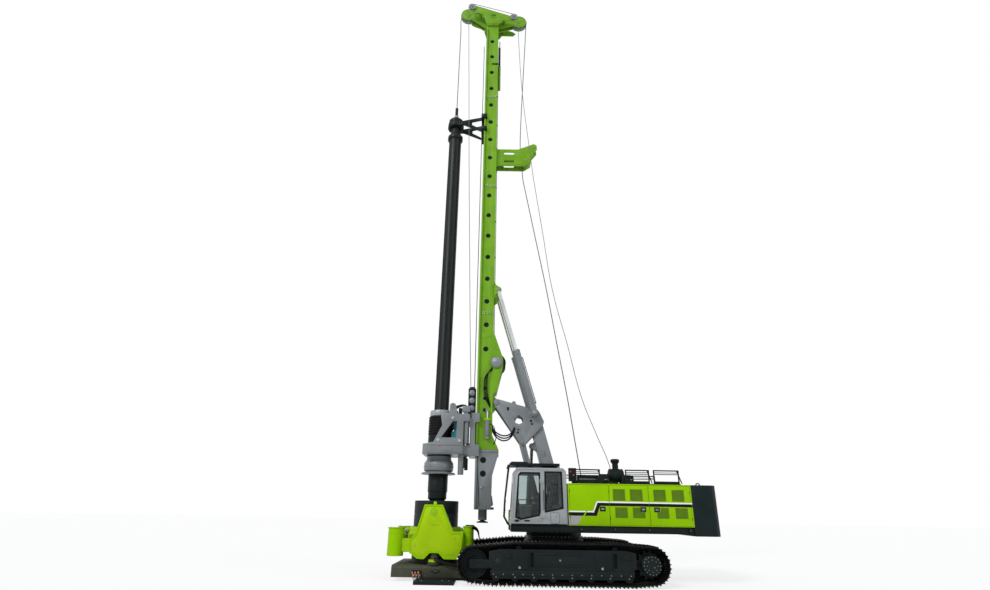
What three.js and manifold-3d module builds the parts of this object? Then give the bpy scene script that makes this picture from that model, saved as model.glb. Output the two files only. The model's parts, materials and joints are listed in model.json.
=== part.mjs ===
// Rotary piling rig with a casing oscillator coupled in front of its tracks.
// Millimetres, +Z up. The machine faces -X and its cab is on the -Y side. All sizes below are taken
// from the slewing axis and the ground. The root group then moves the model so that its origin is
// on the ground, midway between the foremost and the rearmost point.
import * as THREE from 'three';
import { mergeVertices } from 'three/addons/utils/BufferGeometryUtils.js';
import Module from 'manifold-3d';

const wasm = await Module();
wasm.setup();

// ---------------------------------------------------------------- driving dimensions
const FINE = 20;                     // facets of the largest round pieces
const MEDIUM = 12;
const COARSE = 8;
const SEAT = 0.3;                    // gap between two pieces that rest on each other
const RUN = 0.6;                     // radial gap of a pin or shaft in its bore
const CLEAR = 8;                     // gap between pieces that move past each other

const TRACK = {
  gauge: 3600, shoeWidth: 800, height: 1135, thickness: 110, shoes: 42, shoeGap: 16, grooveDepth: 30,
  idlerX: -2440, idlerZ: 540, idlerR: 490, sprocketX: 2480, sprocketZ: 560, sprocketR: 515,
  groundHalf: 1950, crestFront: -1300, crestRear: 1600, crestR: 200,
};
const TRACK_FRAME = { front: -2030, rear: 2060, bottom: 400, top: 925, halfWidth: 300, rollers: 8 };
const FINAL_DRIVE = { radius: 265, innerReach: 330, outerReach: 350 };
const CAR_BODY = { halfLength: 900, halfWidth: 900, bottom: 480, top: 1010, beamX: 1150, beamWidth: 380 };
const RING = { radius: 870, seatRadius: 930, seatTop: 1120, lowerTop: 1228 };
const DECK = { bottom: 1350, top: 1545, front: -1400, rear: 3995, halfWidth: 1450 };
const DECK_NOTCH = { rear: -760, halfWidth: 470 };

const KELLY_X = -3750;               // drilling axis, shared by kelly bar, drive and casing
const KELLY = {
  bottom: 2200, noseTop: 2450, noseR: 300, keyTop: 3300, keyR: 320, barR: 250, collarBottom: 16350,
  collarTop: 16600, collarR: 310, neckR: 210, capR: 300, capTop: 17380,
  swivelR: 62, swivelTop: 18100,
};
const GUIDE = { bottom: 16980, top: 17200, ringR: 335, armY: 250, armThickness: 50 };
const SLEEVE = {
  bore: KELLY.keyR + 22, wall: 58, ringR: 480, flangeR: 560, flangeBottom: 3000, ringBottom: 3110,
  ringTop: 3425, funnelTop: 3560, ribBottom: 4370, ribTop: 4870, collarTop: 5060,
  collarWall: 28, seatWidth: 50, ribWidth: 12,
};
const GEARBOX = { front: -4260, rear: -2940, bottom: 3600, top: 3925, halfWidth: 700 };
const BRACKET = { thickness: 90, top: 4900, lugTop: 5240 };
const CARRIAGE = { front: -2760, rear: -2600, bottom: 3560, top: 4950, claw: 300 };

const MAST = { rear: -2000, depth: 540, halfWidth: 360, wall: 30, bottom: 3780, top: 22550 };
const MAST_X = MAST.rear - MAST.depth / 2;
const RAIL = { thickness: 60, reach: 80 };                       // guide rails on the mast front
const MAST_HOLES = { radius: 72, first: 7206, pitch: 900, topMargin: 900 };
const MAST_FOOT = { bottom: 1950, stubR: 140, stubBottom: 1640, discR: 185, discBottom: 1560 };
const CROWD = { x: -1888, z: 6730, drumR: 300, flangeR: 330, halfWidth: 290, hubR: 160 };
const HEAD = {
  frontX: -3400, frontZ: MAST.top + 980, rearX: -1070, rearZ: MAST.top + 570, sheaveR: 375, grooveR: 345,
  sheaveHalf: 55, plateGap: 78, plateThickness: 40, outerY: 410, coverR: 350,
};
const AUX_HEAD = {
  frontX: -3100, frontZ: MAST.top + 1010, rearX: -1380, rearZ: MAST.top + 410, holeX: -2250,
    holeZ: MAST.top + 510,
  holeR: 130,
};
const ROPE_GUIDE = { z: 15450, height: 400, reach: 1180, plateY: 160, thickness: 35, sheaveR: 210 };

const MAST_PIN = { x: -1870, z: 5350, r: 75 };                   // mast on the delta frame
const CROSS_PIN = { x: -600, z: 4980, r: 70 };                   // boom top and mast rams
const LINK_PIN = { x: -990, z: 4040, r: 50 };                    // delta frame on the support link
const BOOM_FOOT = { x: 24, z: 2600, r: 70 };
const LUFF_FOOT = { x: -800, z: 1720, r: 45 };
const LUFF_EYE = { x: -660, z: 3950, r: 32 };
const MAST_EYE = { x: -1860, z: 9410, r: 50 };
const BOOM = { depth: 450, topHalf: 235, footHalf: 400 };
const DELTA = { plateY: 250, thickness: 60 };
const LINK = { plateY: 160, thickness: 80, depth: 190 };
const MAST_RAM = { y: 455, tubeR: 130, rodR: 75, tubeLength: 2250, eyeR: 120, eyeHalf: 60 };
const LUFF_RAM = { tubeR: 105, rodR: 55, tubeLength: 1250, eyeR: 95, eyeHalf: 60 };
const EYE_PLAY = 24;                 // play of a ram's eye on its pin
const RAM_BORE = { closedEnd: 240, rodStart: 380 };

const CAB = {
  front: -1430, rear: 265, left: -1500, right: -560, floor: DECK.top + SEAT, top: 3150, wall: 60,
  lean: 90, doorRear: -470, doorFoot: 75, doorGap: 6, sill: 75, header: 120,
};
const DOOR_HINGE = { reach: 22, length: 70, halfHeight: 60, low: 250, high: 380 };
const HOOD = {
  front: 300, rear: DECK.rear, halfWidth: 1500, top: 2720, wall: 60, seams: [1525, 2710], doorLeaf: 35,
  wellRear: 1980, wellHalf: 500, doorGap: 6, doorSill: 20, doorHeader: 30, frameLip: 30,
};
const WINCH = {
  mainX: 740, mainZ: 2440, auxX: 1560, auxZ: 2430, mainR: 250, auxR: 190, halfWidth: 400,
  frameFront: 480, frameRear: 1920,
};
const WEIGHT = { front: DECK.rear + SEAT, rear: 4770, bottom: 1300, top: 2720, halfWidth: 1500,
  chamfer: 120 };
const ENGINE = { front: 2250, rear: 3650, halfWidth: 450, bottom: 1700, top: 2500 };
const SIDE_BOX = { front: -1400, rear: 290, inner: 560, outer: 1490, top: 2480 };
const RAILING = { y: 1300, top: 3150, bar: 36, sets: [[470, 1330], [2100, 2840], [2960, 3750]] };
const AIR_CLEANER = { x: 1890, y: -930, z: 2995, r: 205, halfLength: 250, stackTop: 3490, capR: 140 };
const EXHAUST = { x: 2150, y: 840, r: 90, top: 3250, silencerR: 190 };

const CASING = { outerR: 700, wall: 45, top: 2190, bottom: 20 };
const COLLAR = { outerR: CASING.outerR + 150, bottom: 720, top: 1430 };
const PADS = [
  { from: -400, to: -200, inner: CASING.outerR }, { from: 450, to: 600, inner: CASING.outerR - 130 },
];
const HOUSING = { inner: COLLAR.outerR + 35, outer: COLLAR.outerR + 400, top: 2065, step: 1320, foot: 585 };
const LIFT_RAM = { x: 110, y: COLLAR.outerR + 215, tubeR: 140, rodR: 85, tubeTop: 1250, pocketTop: 1330 };
const OSC_BASE = {
  front: -COLLAR.outerR - 260, rear: COLLAR.outerR + 110, halfWidth: COLLAR.outerR + 380, top: 420,
  holeR: CASING.outerR + 80,
};
const COUPLER = { front: -4100, tailRear: -905, halfWidth: 2050, tailHalf: 850, thickness: 100, top: 330 };
const FRONT_POST = { x: -COLLAR.outerR - 230, y: 930, r: 240, bottom: 640, top: 1390 };
const REAR_POST = { x: COLLAR.outerR + 210, y: 900, r: 130, bottom: 700, top: 1450 };

// ---------------------------------------------------------------- making and cutting solids
const AXIS = {
  x: new THREE.Vector3(1, 0, 0), y: new THREE.Vector3(0, 1, 0), z: new THREE.Vector3(0, 0, 1),
};

function signedVolume(position, index) {
  const corner = (k) => new THREE.Vector3().fromArray(position, 3 * index[k]);
  let volume = 0;
  for (let k = 0; k < index.length; k += 3) volume += corner(k).dot(corner(k + 1).cross(corner(k + 2)));
  return volume / 6;
}

// A closed geometry as a manifold solid, with its faces pointing out.
function solid(geometry) {
  const bare = new THREE.BufferGeometry();
  bare.setAttribute('position', geometry.getAttribute('position').clone());
  if (geometry.index) bare.setIndex(geometry.index.clone());
  const merged = mergeVertices(bare, 1e-3);
  const position = merged.getAttribute('position').array;
  const source = merged.index.array;
  const index = [];
  for (let k = 0; k < source.length; k += 3) {
    const [a, b, c] = [source[k], source[k + 1], source[k + 2]];
    if (a !== b && b !== c && c !== a) index.push(a, b, c);
  }
  if (signedVolume(position, index) < 0) index.reverse();
  const mesh = new wasm.Mesh({
    numProp: 3, vertProperties: Float32Array.from(position), triVerts: Uint32Array.from(index),
  });
  return new wasm.Manifold(mesh);
}

function geometryOf(shape) {
  const mesh = shape.getMesh();
  const geometry = new THREE.BufferGeometry();
  geometry.setAttribute('position', new THREE.BufferAttribute(mesh.vertProperties, mesh.numProp));
  geometry.setIndex(new THREE.BufferAttribute(mesh.triVerts, 1));
  geometry.computeVertexNormals();
  return geometry;
}

const join = (...shapes) => shapes.reduce((whole, shape) => whole.add(shape));
const cut = (whole, ...tools) => tools.reduce((rest, tool) => rest.subtract(tool), whole);

function mirrorY(shape) {
  return solid(geometryOf(shape).scale(1, -1, 1));
}

function box(x0, x1, y0, y1, z0, z1) {
  const geometry = new THREE.BoxGeometry(x1 - x0, y1 - y0, z1 - z0);
  return solid(geometry.translate((x0 + x1) / 2, (y0 + y1) / 2, (z0 + z1) / 2));
}

// A flat outline pushed along one axis. Outlines are lists of two numbers: x z, x y or y z.
function extrude(outline, from, to, basis, holes = []) {
  const shape = new THREE.Shape(outline.map(([u, v]) => new THREE.Vector2(u, v)));
  shape.holes = holes.map((hole) => new THREE.Path(hole.map(([u, v]) => new THREE.Vector2(u, v))));
  const geometry = new THREE.ExtrudeGeometry(shape, { depth: to - from, bevelEnabled: false });
  return solid(geometry.translate(0, 0, from).applyMatrix4(basis));
}
const sideBasis = new THREE.Matrix4().makeBasis(AXIS.x, AXIS.z, AXIS.y.clone().negate());
const frontBasis = new THREE.Matrix4().makeBasis(AXIS.y, AXIS.z, AXIS.x);
const sidePlate = (outline, y0, y1, holes) => extrude(outline, -y1, -y0, sideBasis, holes);
const frontPlate = (outline, x0, x1, holes) => extrude(outline, x0, x1, frontBasis, holes);
const flatPlate = (outline, z0, z1, holes) => extrude(outline, z0, z1, new THREE.Matrix4(), holes);

function circle(u, v, radius, count = COARSE, turn = 0) {
  return Array.from({ length: count }, (_, k) => {
    const angle = turn + (2 * Math.PI * k) / count;
    return [u + radius * Math.cos(angle), v + radius * Math.sin(angle)];
  });
}

// A round bar between two points.
function bar(from, to, radius, count = COARSE, radiusTo = radius) {
  const start = new THREE.Vector3(...from);
  const run = new THREE.Vector3(...to).sub(start);
  const geometry = new THREE.CylinderGeometry(radiusTo, radius, run.length(), count);
  geometry.applyQuaternion(new THREE.Quaternion().setFromUnitVectors(AXIS.y, run.clone().normalize()));
  return solid(geometry.translate(...start.addScaledVector(run, 0.5).toArray()));
}
// A bar across the machine. A pin is turned half a facet, so that its edges face the bore's flats.
const crossBar = (x, z, y0, y1, radius, count = COARSE) => sidePlate(circle(x, z, radius, count), y0, y1);
function pin(x, z, y0, y1, radius, count = COARSE) {
  return sidePlate(circle(x, z, radius, count, Math.PI / count), y0, y1);
}
const boreRadius = (radius, count = COARSE, gap = RUN) => (radius + gap) / Math.cos(Math.PI / count);
function boreCut(x, z, y0, y1, radius, count = COARSE, gap = RUN) {
  return crossBar(x, z, y0, y1, boreRadius(radius, count, gap), count);
}

// A turned piece about the vertical line through x, y. The profile is a list of radius, height.
function turned(profile, x = 0, y = 0, count = MEDIUM) {
  const points = profile.map(([r, z]) => new THREE.Vector2(r, z));
  const geometry = new THREE.LatheGeometry(points, count).rotateX(Math.PI / 2);
  return solid(geometry.translate(x, y, 0));
}
function post(x, y, z0, z1, radius, count = COARSE) {
  return turned([[0, z0], [radius, z0], [radius, z1], [0, z1]], x, y, count);
}

function convexHull(points) {
  const sorted = [...points].sort((a, b) => a[0] - b[0] || a[1] - b[1]);
  const turn = (o, a, b) => (a[0] - o[0]) * (b[1] - o[1]) - (a[1] - o[1]) * (b[0] - o[0]);
  const chain = (list) => {
    const hull = [];
    for (const point of list) {
      while (hull.length > 1 && turn(hull.at(-2), hull.at(-1), point) <= 1e-6) hull.pop();
      hull.push(point);
    }
    return hull.slice(0, -1);
  };
  return [...chain(sorted), ...chain(sorted.reverse())];
}
const hullOfCircles = (circles, count) => convexHull(
  circles.flatMap(([x, z, r]) => circle(x, z, r, count)),
);

function finish(color, roughness, metalness = 0.1) {
  return new THREE.MeshStandardMaterial({ color, roughness, metalness });
}
const LIME = () => finish(0x96be16, 0.42);
const MAST_GREEN = () => finish(0x80b030, 0.45);
const GREY = () => finish(0x7a8084, 0.5);
const BLACK = () => finish(0x1d2426, 0.6);
const DARK = () => finish(0x20292b, 0.55);
const STEEL = () => finish(0xc8ccd0, 0.2, 0.95);
const TEAL = () => finish(0x2f9fa6, 0.4);
const TRACK_STEEL = () => finish(0x24272a, 0.75, 0.4);

function piece(name, shape, material) {
  const mesh = new THREE.Mesh(geometryOf(shape), material);
  mesh.name = name;
  return mesh;
}
function group(children, x = 0, y = 0, z = 0) {
  const made = new THREE.Group();
  made.add(...children);
  made.position.set(x, y, z);
  return made;
}

// ---------------------------------------------------------------- tracks
const trackCircles = (inset) => [
  [TRACK.idlerX, TRACK.idlerZ, TRACK.idlerR - inset],
  [TRACK.sprocketX, TRACK.sprocketZ, TRACK.sprocketR - inset],
  [-TRACK.groundHalf, TRACK.crestR, TRACK.crestR - inset],
  [TRACK.groundHalf, TRACK.crestR, TRACK.crestR - inset],
  [TRACK.crestFront, TRACK.height - TRACK.crestR, TRACK.crestR - inset],
  [TRACK.crestRear, TRACK.height - TRACK.crestR, TRACK.crestR - inset],
];

// Points along a closed outline at given distances from its first point.
function along(outline, distances) {
  const loop = [...outline, outline[0]];
  const lengths = outline.map((p, k) => Math.hypot(loop[k + 1][0] - p[0], loop[k + 1][1] - p[1]));
  return distances.map((distance) => {
    let rest = distance;
    let k = 0;
    while (k < lengths.length - 1 && rest > lengths[k]) rest -= lengths[k++];
    const share = rest / lengths[k];
    return [0, 1].map((axis) => loop[k][axis] + (loop[k + 1][axis] - loop[k][axis]) * share);
  });
}
function perimeter(outline) {
  return outline.reduce((sum, p, k) => {
    const next = outline[(k + 1) % outline.length];
    return sum + Math.hypot(next[0] - p[0], next[1] - p[1]);
  }, 0);
}

// The endless track: shoes with grooves between them, outside, and the chain's running line, inside.
function trackLoop() {
  const outer = hullOfCircles(trackCircles(0), 2 * FINE);
  const grooved = hullOfCircles(trackCircles(TRACK.grooveDepth), 2 * FINE);
  const ratio = perimeter(grooved) / perimeter(outer);
  const pitch = perimeter(outer) / TRACK.shoes;
  const outline = [];
  for (let k = 0; k < TRACK.shoes; k += 1) {
    const ends = [k * pitch + TRACK.shoeGap / 2, (k + 1) * pitch - TRACK.shoeGap / 2];
    outline.push(...along(outer, ends));
    const grooveEnd = (ends[1] + TRACK.shoeGap) % (pitch * TRACK.shoes);
    outline.push(...along(grooved, [ends[1] * ratio, grooveEnd * ratio]));
  }
  const inner = hullOfCircles(trackCircles(TRACK.thickness), 2 * MEDIUM);
  return sidePlate(outline, -TRACK.shoeWidth / 2, TRACK.shoeWidth / 2, [inner]);
}

// One track frame with its rollers, idler fork and drive bracket. Its outer side is -Y.
function trackFrame() {
  const { front, rear, bottom, top, halfWidth, rollers } = TRACK_FRAME;
  const beam = sidePlate(
    [[front, bottom + 90], [front + 120, bottom], [rear - 120, bottom], [rear, bottom + 90],
      [rear, top - 60], [rear - 300, top], [front + 300, top], [front, top - 60]],
    -halfWidth, halfWidth,
  );
  const rollerR = 118;
  const rollerZ = TRACK.thickness + SEAT + rollerR;
  const rollerX = (k) => -TRACK.groundHalf + 120 + (k * (2 * TRACK.groundHalf - 240)) / (rollers - 1);
  const shapes = [beam];
  for (const y of [-halfWidth + 30, halfWidth - 60]) {
    shapes.push(box(rollerX(0) - 80, rollerX(rollers - 1) + 80, y, y + 30, rollerZ - 40, bottom + 10));
  }
  for (let k = 0; k < rollers; k += 1) {
    shapes.push(crossBar(rollerX(k), rollerZ, -halfWidth + 45, halfWidth - 45, rollerR, 8));
  }
  const carrierR = 80;
  const carrierZ = TRACK.height - TRACK.thickness - SEAT - carrierR;
  for (const x of [TRACK.crestFront + 100, TRACK.crestRear - 100]) {
    shapes.push(crossBar(x, carrierZ, -180, 180, carrierR, 8));
  }
  const forkTop = TRACK.idlerZ + 110;
  const forkFront = TRACK.idlerX - 120;
  for (const y of [-190, 130]) {
    shapes.push(box(forkFront, front + 60, y, y + 60, TRACK.idlerZ - 110, forkTop));
  }
  shapes.push(sidePlate(
    [[rear - 60, bottom + 90], [TRACK.sprocketX + 80, TRACK.sprocketZ - 150],
      [TRACK.sprocketX + 80, TRACK.sprocketZ + 200], [rear - 60, top - 60]],
    150, 230,
  ));
  for (const x of [-CAR_BODY.beamX, CAR_BODY.beamX]) {
    shapes.push(box(x - 210, x + 210, -halfWidth - 22, -halfWidth + 5, bottom + 40, top - 30));
    shapes.push(box(x + 230, x + 250, -halfWidth - 22, -halfWidth + 5, bottom + 40, top - 30));
  }
  shapes.push(box(-820, 640, -halfWidth - 12, -halfWidth + 5, bottom + 90, top - 90));
  shapes.push(box(-1960, -1620, -halfWidth - 12, -halfWidth + 5, bottom + 90, top - 120));
  const toothReach = TRACK.sprocketR - TRACK.thickness;
  const cuts = [
    box(TRACK.sprocketX - toothReach - CLEAR, rear + 10, -50 - CLEAR, 50 + CLEAR, bottom - 10, top + 10),
    boreCut(TRACK.idlerX, TRACK.idlerZ, -400, 400, 60, COARSE, SEAT),
    boreCut(TRACK.sprocketX, TRACK.sprocketZ, 100, 300, FINAL_DRIVE.radius - 90, MEDIUM, SEAT),
    ...[-CAR_BODY.beamX, CAR_BODY.beamX].map((x) => box(
      x + 270, x + 370, -halfWidth - 30, -halfWidth + 120, bottom + 80, top - 80,
    )),
  ];
  return cut(join(...shapes), ...cuts);
}

function sprocket() {
  const { sprocketX, sprocketZ } = TRACK;
  const teeth = 13;
  const rootR = TRACK.sprocketR - TRACK.thickness - 70;
  const tipR = TRACK.sprocketR - TRACK.thickness - CLEAR;
  const outline = [];
  for (let k = 0; k < teeth; k += 1) {
    const middle = (2 * Math.PI * k) / teeth;
    const half = Math.PI / teeth;
    for (const [radius, share] of [[rootR, -0.62], [tipR, -0.2], [tipR, 0.2], [rootR, 0.62]]) {
      const angle = middle + half * share;
      outline.push([sprocketX + radius * Math.cos(angle), sprocketZ + radius * Math.sin(angle)]);
    }
  }
  return join(
    sidePlate(outline, -50, 50),
    crossBar(sprocketX, sprocketZ, -FINAL_DRIVE.outerReach, 150 - SEAT, FINAL_DRIVE.radius, MEDIUM),
    pin(sprocketX, sprocketZ, 100, FINAL_DRIVE.innerReach, FINAL_DRIVE.radius - 90, MEDIUM),
  );
}

function idler() {
  const radius = TRACK.idlerR - TRACK.thickness - SEAT;
  return join(
    crossBar(TRACK.idlerX, TRACK.idlerZ, -100, 100, radius, MEDIUM),
    crossBar(TRACK.idlerX, TRACK.idlerZ, -125, 125, 150),
    pin(TRACK.idlerX, TRACK.idlerZ, -210, 210, 60),
  );
}

function trackGroup(side, name) {
  const placed = (shape) => (side < 0 ? shape : mirrorY(shape));
  return group([
    piece(`track_${name}`, trackLoop(), TRACK_STEEL()),
    piece(`track_frame_${name}`, placed(trackFrame()), BLACK()),
    piece(`sprocket_${name}`, placed(sprocket()), DARK()),
    piece(`idler_${name}`, idler(), DARK()),
  ], 0, (side * TRACK.gauge) / 2);
}

// ---------------------------------------------------------------- car body between the tracks
function carBody() {
  const { halfLength, halfWidth, bottom, top, beamX, beamWidth } = CAR_BODY;
  const frameInner = TRACK.gauge / 2 - TRACK_FRAME.halfWidth - SEAT;
  const shapes = [
    box(-halfLength, halfLength, -halfWidth, halfWidth, bottom, top),
    post(0, 0, top - 10, RING.seatTop, RING.seatRadius, FINE),
    post(0, 0, RING.seatTop - 10, RING.lowerTop, RING.radius, FINE),
  ];
  for (const x of [-beamX, beamX]) {
    shapes.push(box(x - beamWidth / 2, x + beamWidth / 2, -frameInner, frameInner, bottom + 30, top - 120));
    const pad = beamWidth / 2 + 80;
    shapes.push(box(x - pad, x + pad, -halfWidth + 100, halfWidth - 100, bottom, top - 60));
  }
  return join(...shapes);
}

// ---------------------------------------------------------------- casing oscillator
// The flat coupler lies on the ground in front of the tracks. Its tail is pinned to the car body.
function coupler() {
  const { front, tailRear, halfWidth, tailHalf, thickness, top } = COUPLER;
  const rear = TRACK.idlerX - TRACK.idlerR - 50;
  const tailStart = KELLY_X + OSC_BASE.rear + CLEAR;
  const slab = flatPlate(
    [[front, -halfWidth], [rear, -halfWidth], [rear, -tailHalf], [tailRear - 500, -tailHalf],
      [tailRear - 500, tailHalf], [rear, tailHalf], [rear, halfWidth], [front, halfWidth]],
    0, thickness,
  );
  const shapes = [slab];
  const lugX = -CAR_BODY.beamX - CAR_BODY.beamWidth / 2 - 80 - SEAT;
  for (const y of [-tailHalf, tailHalf - 160]) {
    shapes.push(sidePlate(
      [[tailStart, thickness - 10], [lugX, thickness - 10], [lugX, 760], [lugX - 260, 760],
        [lugX - 700, top], [tailStart, top]],
      y, y + 160,
    ));
  }
  shapes.push(box(lugX - 120, lugX, -tailHalf, tailHalf, CAR_BODY.bottom + 40, 760));
  return cut(join(...shapes), post(KELLY_X, 0, -10, thickness + 10, OSC_BASE.holeR, FINE));
}

// The pieces below stand in the frame of the drilling axis.
function oscillatorBase() {
  const { front, rear, halfWidth, top, holeR } = OSC_BASE;
  const bottom = COUPLER.thickness + SEAT;
  const shapes = [frontPlate(
    [[-halfWidth, bottom], [halfWidth, bottom], [halfWidth, top - 60], [halfWidth - 60, top],
      [-halfWidth + 60, top], [-halfWidth, top - 60]],
    front, rear,
  )];
  for (const y of [-LIFT_RAM.y, LIFT_RAM.y]) {
    shapes.push(turned(
      [[0, top - 20], [LIFT_RAM.tubeR, top - 20], [LIFT_RAM.tubeR, LIFT_RAM.tubeTop],
        [LIFT_RAM.rodR + RUN, LIFT_RAM.tubeTop], [LIFT_RAM.rodR + RUN, top + 60], [0, top + 60]],
      LIFT_RAM.x, y,
    ));
  }
  return cut(join(...shapes), post(0, 0, bottom - 10, top + 10, holeR, FINE));
}

function housingOutline() {
  const { top, step, foot } = HOUSING;
  return [[-245, top], [-465, step - 50], [-640, 1085], [-640, 765], [-390, foot + 10], [-300, foot],
    [-180, foot], [-15, foot + 160], [235, foot + 160], [400, foot], [760, foot], [900, 860],
    [945, step], [630, step], [290, top]];
}

function oscillatorFrame() {
  const near = join(
    sidePlate(housingOutline(), -HOUSING.outer, -HOUSING.inner),
    crossBar(40, 1870, -HOUSING.outer - 16, -HOUSING.outer + 5, 95),
    crossBar(70, HOUSING.top + 30, -HOUSING.outer, -HOUSING.outer + 40, 50, 8),
  );
  const { x: ramX, y: ramY, pocketTop, tubeR, rodR } = LIFT_RAM;
  const pocket = post(ramX, -ramY, HOUSING.foot - 60, pocketTop, tubeR + CLEAR, MEDIUM);
  const rod = post(ramX, -ramY, OSC_BASE.top + 90, pocketTop + 10, rodR, MEDIUM);
  const cornerPost = ({ x, y, r, bottom, top }) => join(
    post(x, -y, bottom, top, r),
    post(x, -y, top - 5, top + 22, r + 18),
  );
  const side = join(
    cut(near, pocket), rod, cornerPost(FRONT_POST), cornerPost(REAR_POST),
    box(FRONT_POST.x - 60, -600, -FRONT_POST.y - 120, -HOUSING.inner, 760, 1120),
    box(880, REAR_POST.x + 60, -REAR_POST.y - 80, -HOUSING.inner - 5, 820, 1300),
    ...PADS.map(({ from, to, inner }) => box(
      from, to, -HOUSING.inner - 5, -inner, COLLAR.bottom - 80, COLLAR.bottom - SEAT,
    )),
  );
  const beams = [
    box(FRONT_POST.x - 90, FRONT_POST.x + 90, -FRONT_POST.y, FRONT_POST.y, 760, 1180),
    box(REAR_POST.x - 90, REAR_POST.x + 70, -REAR_POST.y, REAR_POST.y, 760, 1180),
  ];
  return join(side, mirrorY(side), ...beams);
}

// The clamp grips the casing. Two ears and a closing ram at the front, under the collar's band.
function clampCollar() {
  const { outerR, bottom, top } = COLLAR;
  const bore = CASING.outerR + SEAT;
  const ring = turned(
    [[bore, bottom], [outerR - 40, bottom], [outerR - 40, bottom + 260], [outerR, bottom + 300],
      [outerR, top - 180], [outerR - 50, top - 130], [outerR - 50, top], [bore, top], [bore, bottom]],
    0, 0, FINE,
  );
  const shapes = [ring];
  for (const y of [-210, 130]) shapes.push(box(-outerR - 90, -bore - 30, y, y + 80, top - 235, top - 30));
  shapes.push(box(outerR - 60, outerR + 20, -170, 170, top - 235, top - 20));
  return cut(join(...shapes), post(0, 0, bottom - 10, top + 10, bore, FINE));
}

function casingTube() {
  const { outerR, wall, top, bottom } = CASING;
  const innerR = outerR - wall;
  return turned(
    [[innerR, bottom], [outerR, bottom], [outerR, top], [innerR, top], [innerR, bottom]], 0, 0, FINE,
  );
}

// ---------------------------------------------------------------- upperstructure
function slewFrame() {
  const { bottom, top, front, rear, halfWidth } = DECK;
  const plan = [[front, -halfWidth + 60], [front + 60, -halfWidth], [rear, -halfWidth], [rear, halfWidth],
    [front + 60, halfWidth], [front, halfWidth - 60], [front, DECK_NOTCH.halfWidth],
    [DECK_NOTCH.rear - 250, DECK_NOTCH.halfWidth], [DECK_NOTCH.rear - 250, -DECK_NOTCH.halfWidth],
    [front, -DECK_NOTCH.halfWidth]];
  const shapes = [
    flatPlate(plan, bottom, top),
    post(0, 0, RING.lowerTop + SEAT, bottom + 10, RING.radius, FINE),
  ];
  const towerInner = BOOM.footHalf + 6;
  for (const y of [-towerInner - 60, towerInner]) {
    shapes.push(sidePlate(
      [[-330, top - 10], [420, top - 10], [BOOM_FOOT.x + 150, BOOM_FOOT.z + 110],
        [BOOM_FOOT.x + 60, BOOM_FOOT.z + 160], [BOOM_FOOT.x - 60, BOOM_FOOT.z + 160],
        [BOOM_FOOT.x - 150, BOOM_FOOT.z + 90]],
      y, y + 60,
    ));
  }
  const linkFoot = { x: LINK_PIN.x + BOOM_FOOT.x - CROSS_PIN.x, z: LINK_PIN.z + BOOM_FOOT.z - CROSS_PIN.z };
  const lugOutline = (x, z, half) => [[x - half - 40, top - 10], [x + half + 40, top - 10],
    [x + half, z], [x + half * 0.6, z + half * 0.8], [x - half * 0.6, z + half * 0.8], [x - half, z]];
  const linkLug = LINK.plateY + LINK.thickness + 5;
  for (const y of [-linkLug - 50, linkLug]) {
    shapes.push(sidePlate(lugOutline(linkFoot.x, linkFoot.z, 110), y, y + 50));
  }
  const luffLug = LUFF_RAM.eyeHalf + 5;
  for (const y of [-luffLug - 40, luffLug]) {
    shapes.push(sidePlate(lugOutline(LUFF_FOOT.x, LUFF_FOOT.z, 100), y, y + 40));
  }
  for (const y of [-WINCH.halfWidth - 60, WINCH.halfWidth + 10]) {
    shapes.push(sidePlate(
      [[WINCH.frameFront, top - 10], [WINCH.frameRear, top - 10], [WINCH.frameRear - 40, WINCH.auxZ + 160],
        [WINCH.auxX - 120, WINCH.auxZ + 200], [WINCH.mainX + 120, WINCH.mainZ + 220],
        [WINCH.mainX - 130, WINCH.mainZ + 220], [WINCH.frameFront, WINCH.mainZ]],
      y, y + 50,
    ));
  }
  const bores = [
    boreCut(BOOM_FOOT.x, BOOM_FOOT.z, -600, 600, BOOM_FOOT.r),
    boreCut(linkFoot.x, linkFoot.z, -600, 600, LINK_PIN.r),
    boreCut(LUFF_FOOT.x, LUFF_FOOT.z, -200, 200, LUFF_FOOT.r),
    boreCut(WINCH.mainX, WINCH.mainZ, -600, 600, 90),
    boreCut(WINCH.auxX, WINCH.auxZ, -600, 600, 90),
  ];
  return cut(join(...shapes), ...bores);
}

function winchDrum(x, z, radius) {
  const half = WINCH.halfWidth;
  return join(
    crossBar(x, z, -half + 30, half - 30, radius, MEDIUM),
    crossBar(x, z, -half, -half + 35, radius + 70, MEDIUM),
    crossBar(x, z, half - 35, half, radius + 70, MEDIUM),
    pin(x, z, -half - 75, half + 75, 90),
  );
}

// ---------------------------------------------------------------- cab
function cabOutline(inset) {
  const { front, rear, floor, top, lean } = CAB;
  return [[front + inset, floor + inset], [rear - inset, floor + inset],
    [rear - inset, top - 90 - inset * 0.4],
    [rear - 90 - inset * 0.4, top - inset], [front + lean + 110, top - inset],
    [front + lean + inset * 0.6, top - 130]];
}
function doorOutline(gap) {
  const { front, floor, top, lean, doorRear, sill, header } = CAB;
  const foot = front + CAB.doorFoot;
  return [[foot + gap, floor + sill + gap], [doorRear - gap, floor + sill + gap],
    [doorRear - gap, top - header + 60 - gap], [foot + lean + 90 + gap, top - header + 60 - gap],
    [foot + lean - 20 + gap, top - header - 50 - gap]];
}
function doorWindow() {
  const { front, floor, top, lean, doorRear } = CAB;
  return [[front + 165, floor + 215], [front + 330, floor + 150], [doorRear - 75, floor + 280],
    [doorRear - 75, top - 150], [front + lean + 240, top - 150], [front + lean + 165, top - 230]];
}
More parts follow.
